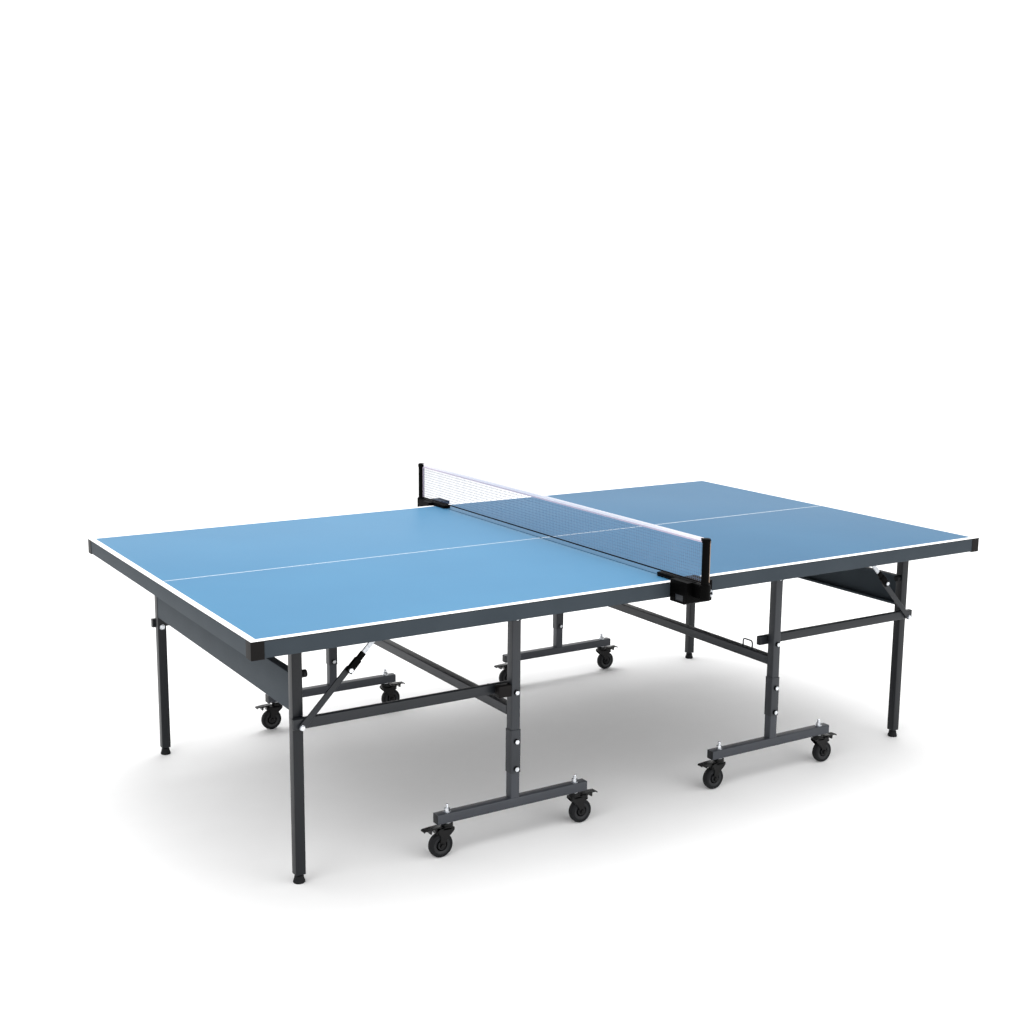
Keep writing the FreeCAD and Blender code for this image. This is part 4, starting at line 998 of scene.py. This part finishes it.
def make_net():
    """The net: thin cords on a square pitch, a folded white tape on top, bindings and a dark hem cord."""
    low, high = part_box("net")
    body = NODE_BODY["net"]
    width = high.y - low.y
    tape_drop, pitch, cord = 0.015, 0.0090, 0.0011
    mesh_top, mesh_low = high.z - 0.004, low.z + 0.001
    bm = bmesh.new()
    count = int(width / pitch)
    half = cord / 2
    def strand(a, b, across, thick_dir):
        rings = []
        for point in (a, b):
            rings.append([bm.verts.new(point + across * s + thick_dir * t)
                          for s, t in ((half, 0), (0, half), (-half, 0), (0, -half))])
        skin(bm, rings)
    y_dir, z_dir, x_dir = Vector((0, 1, 0)), Vector((0, 0, 1)), Vector((1, 0, 0))
    for k in range(1, count):
        y = low.y + width * k / count
        strand(Vector((0.0002, y, mesh_low)), Vector((0.0002, y, mesh_top)), y_dir, x_dir)
    rows = int((mesh_top - mesh_low) / pitch)
    for k in range(1, rows):
        z = mesh_low + (mesh_top - mesh_low) * k / rows
        strand(Vector((-0.0002, low.y + 0.002, z)), Vector((-0.0002, high.y - 0.002, z)), z_dir, x_dir)
    net = finish_piece("net_mesh", bm, body, CORD)

    bm = bmesh.new()
    thick = 0.0011
    profile = [(-thick, high.z - tape_drop), (-thick - 0.0002, high.z - 0.004), (-0.0012, high.z - 0.001),
               (0, high.z), (0.0012, high.z - 0.001), (thick + 0.0002, high.z - 0.004),
               (thick, high.z - tape_drop), (0.0005, high.z - tape_drop), (0.0005, high.z - 0.004),
               (-0.0005, high.z - 0.004), (-0.0005, high.z - tape_drop)]
    prism(bm, profile, Vector((0, low.y, 0)), x_dir, z_dir, y_dir, width)
    tape = finish_piece("net_tape", bm, body, TAPE, angle=50)

    bm = bmesh.new()
    for x in (-1, 1):
        block(bm, (x * 0.00125 - 0.0001, low.y + 0.001, high.z - tape_drop - 0.0004),
              (x * 0.00125 + 0.0001, high.y - 0.001, high.z - tape_drop + 0.0042), bevel=0.0)
    lining = finish_piece("tape_seam", bm, body, SEAM)

    bm = bmesh.new()
    for sy in SIDES.values():
        end = sy * high.y
        y = sorted((end, end - sy * 0.0035))
        block(bm, (-0.0012, y[0], low.z + 0.0005), (0.0012, y[1], high.z - 0.002), bevel=0.0005)
    binding = finish_piece("net_bindings", bm, body, SEAM)

    bm = bmesh.new()
    points = [(0, low.y + width * k / 60, low.z + 0.0024) for k in range(61)]
    wire(bm, points, 0.0023, 10)
    hem = finish_piece("net_hem_cord", bm, body, HEM)

    bm = bmesh.new()
    post_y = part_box("net_brackets")[1].y - SOCKET
    for sy in SIDES.values():
        points = [(0.0050, sy * (post_y + 0.0125), high.z - 0.006 - 0.0126 * k) for k in range(11)]
        wire(bm, points, 0.0010, 10)
    lines = finish_piece("tension_lines", bm, body, LINE)
    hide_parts("net")


for half_name, half_sign in HALVES.items():
    make_top(half_name, half_sign)
    make_base(half_name)
    make_outer(half_name, half_sign)
    for side_name, side_sign in SIDES.items():
        make_caster(half_name, half_sign, side_name, side_sign, "outer", 1)
        make_caster(half_name, half_sign, side_name, side_sign, "inner", -1)
make_net_clamps()
make_net()
for side_name, side_sign in SIDES.items():
    make_screw(side_name, side_sign)


# ---------------------------------------------------------------- floor, light and camera
def make_floor():
    bm = bmesh.new()
    bmesh.ops.create_grid(bm, x_segments=1, y_segments=1, size=120)
    mesh = bpy.data.meshes.new("floor")
    bm.to_mesh(mesh)
    bm.free()
    floor = placed("floor", mesh)
    mesh.materials.append(grained("floor_paint", rgb(250, 250, 250), rgb(248, 248, 248), 0.75, 0.05, 40,
                                  0.0001))


def area_light(name, place, target, size, power):
    data = bpy.data.lights.new(name, "AREA")
    data.shape = "RECTANGLE"
    data.size, data.size_y = size
    data.energy = power
    lamp = placed(name, data)
    lamp.location = place
    lamp.rotation_euler = (Vector(target) - Vector(place)).to_track_quat("-Z", "Y").to_euler()


def make_camera():
    azimuth, elevation, roll = math.radians(32.104), math.radians(-10.193), math.radians(0.539)
    ahead = Vector((math.sin(azimuth) * math.cos(elevation), math.cos(azimuth) * math.cos(elevation),
                    math.sin(elevation)))
    right = ahead.cross(Vector((0, 0, 1))).normalized()
    up = right.cross(ahead)
    turned_right = right * math.cos(roll) + up * math.sin(roll)
    turned_up = up * math.cos(roll) - right * math.sin(roll)
    data = bpy.data.cameras.new("camera")
    data.lens, data.sensor_width = 47.48, 36.0
    camera = placed("camera", data)
    matrix = Matrix((turned_right, turned_up, -ahead)).transposed().to_4x4()
    matrix.translation = Vector((-2.558, -3.883, 1.687))
    camera.matrix_world = matrix
    bpy.context.scene.camera = camera


def make_world():
    world = bpy.data.worlds.new("studio")
    world.use_nodes = True
    background = world.node_tree.nodes["Background"]
    background.inputs["Color"].default_value = (1, 1, 1, 1)
    background.inputs["Strength"].default_value = 1.2
    bpy.context.scene.world = world


make_floor()
make_world()
area_light("key", (-4.5, -2.0, 4.0), (0, 0, 0.5), (3.0, 3.0), 60)
area_light("top", (0.9, 1.2, 5.0), (0, 0, 0.7), (5.0, 4.0), 170)
area_light("front", (1.5, -6.0, 1.6), (0, 0, 0.2), (4.0, 2.0), 70)
make_camera()
bpy.context.scene.view_settings.view_transform = "Standard"
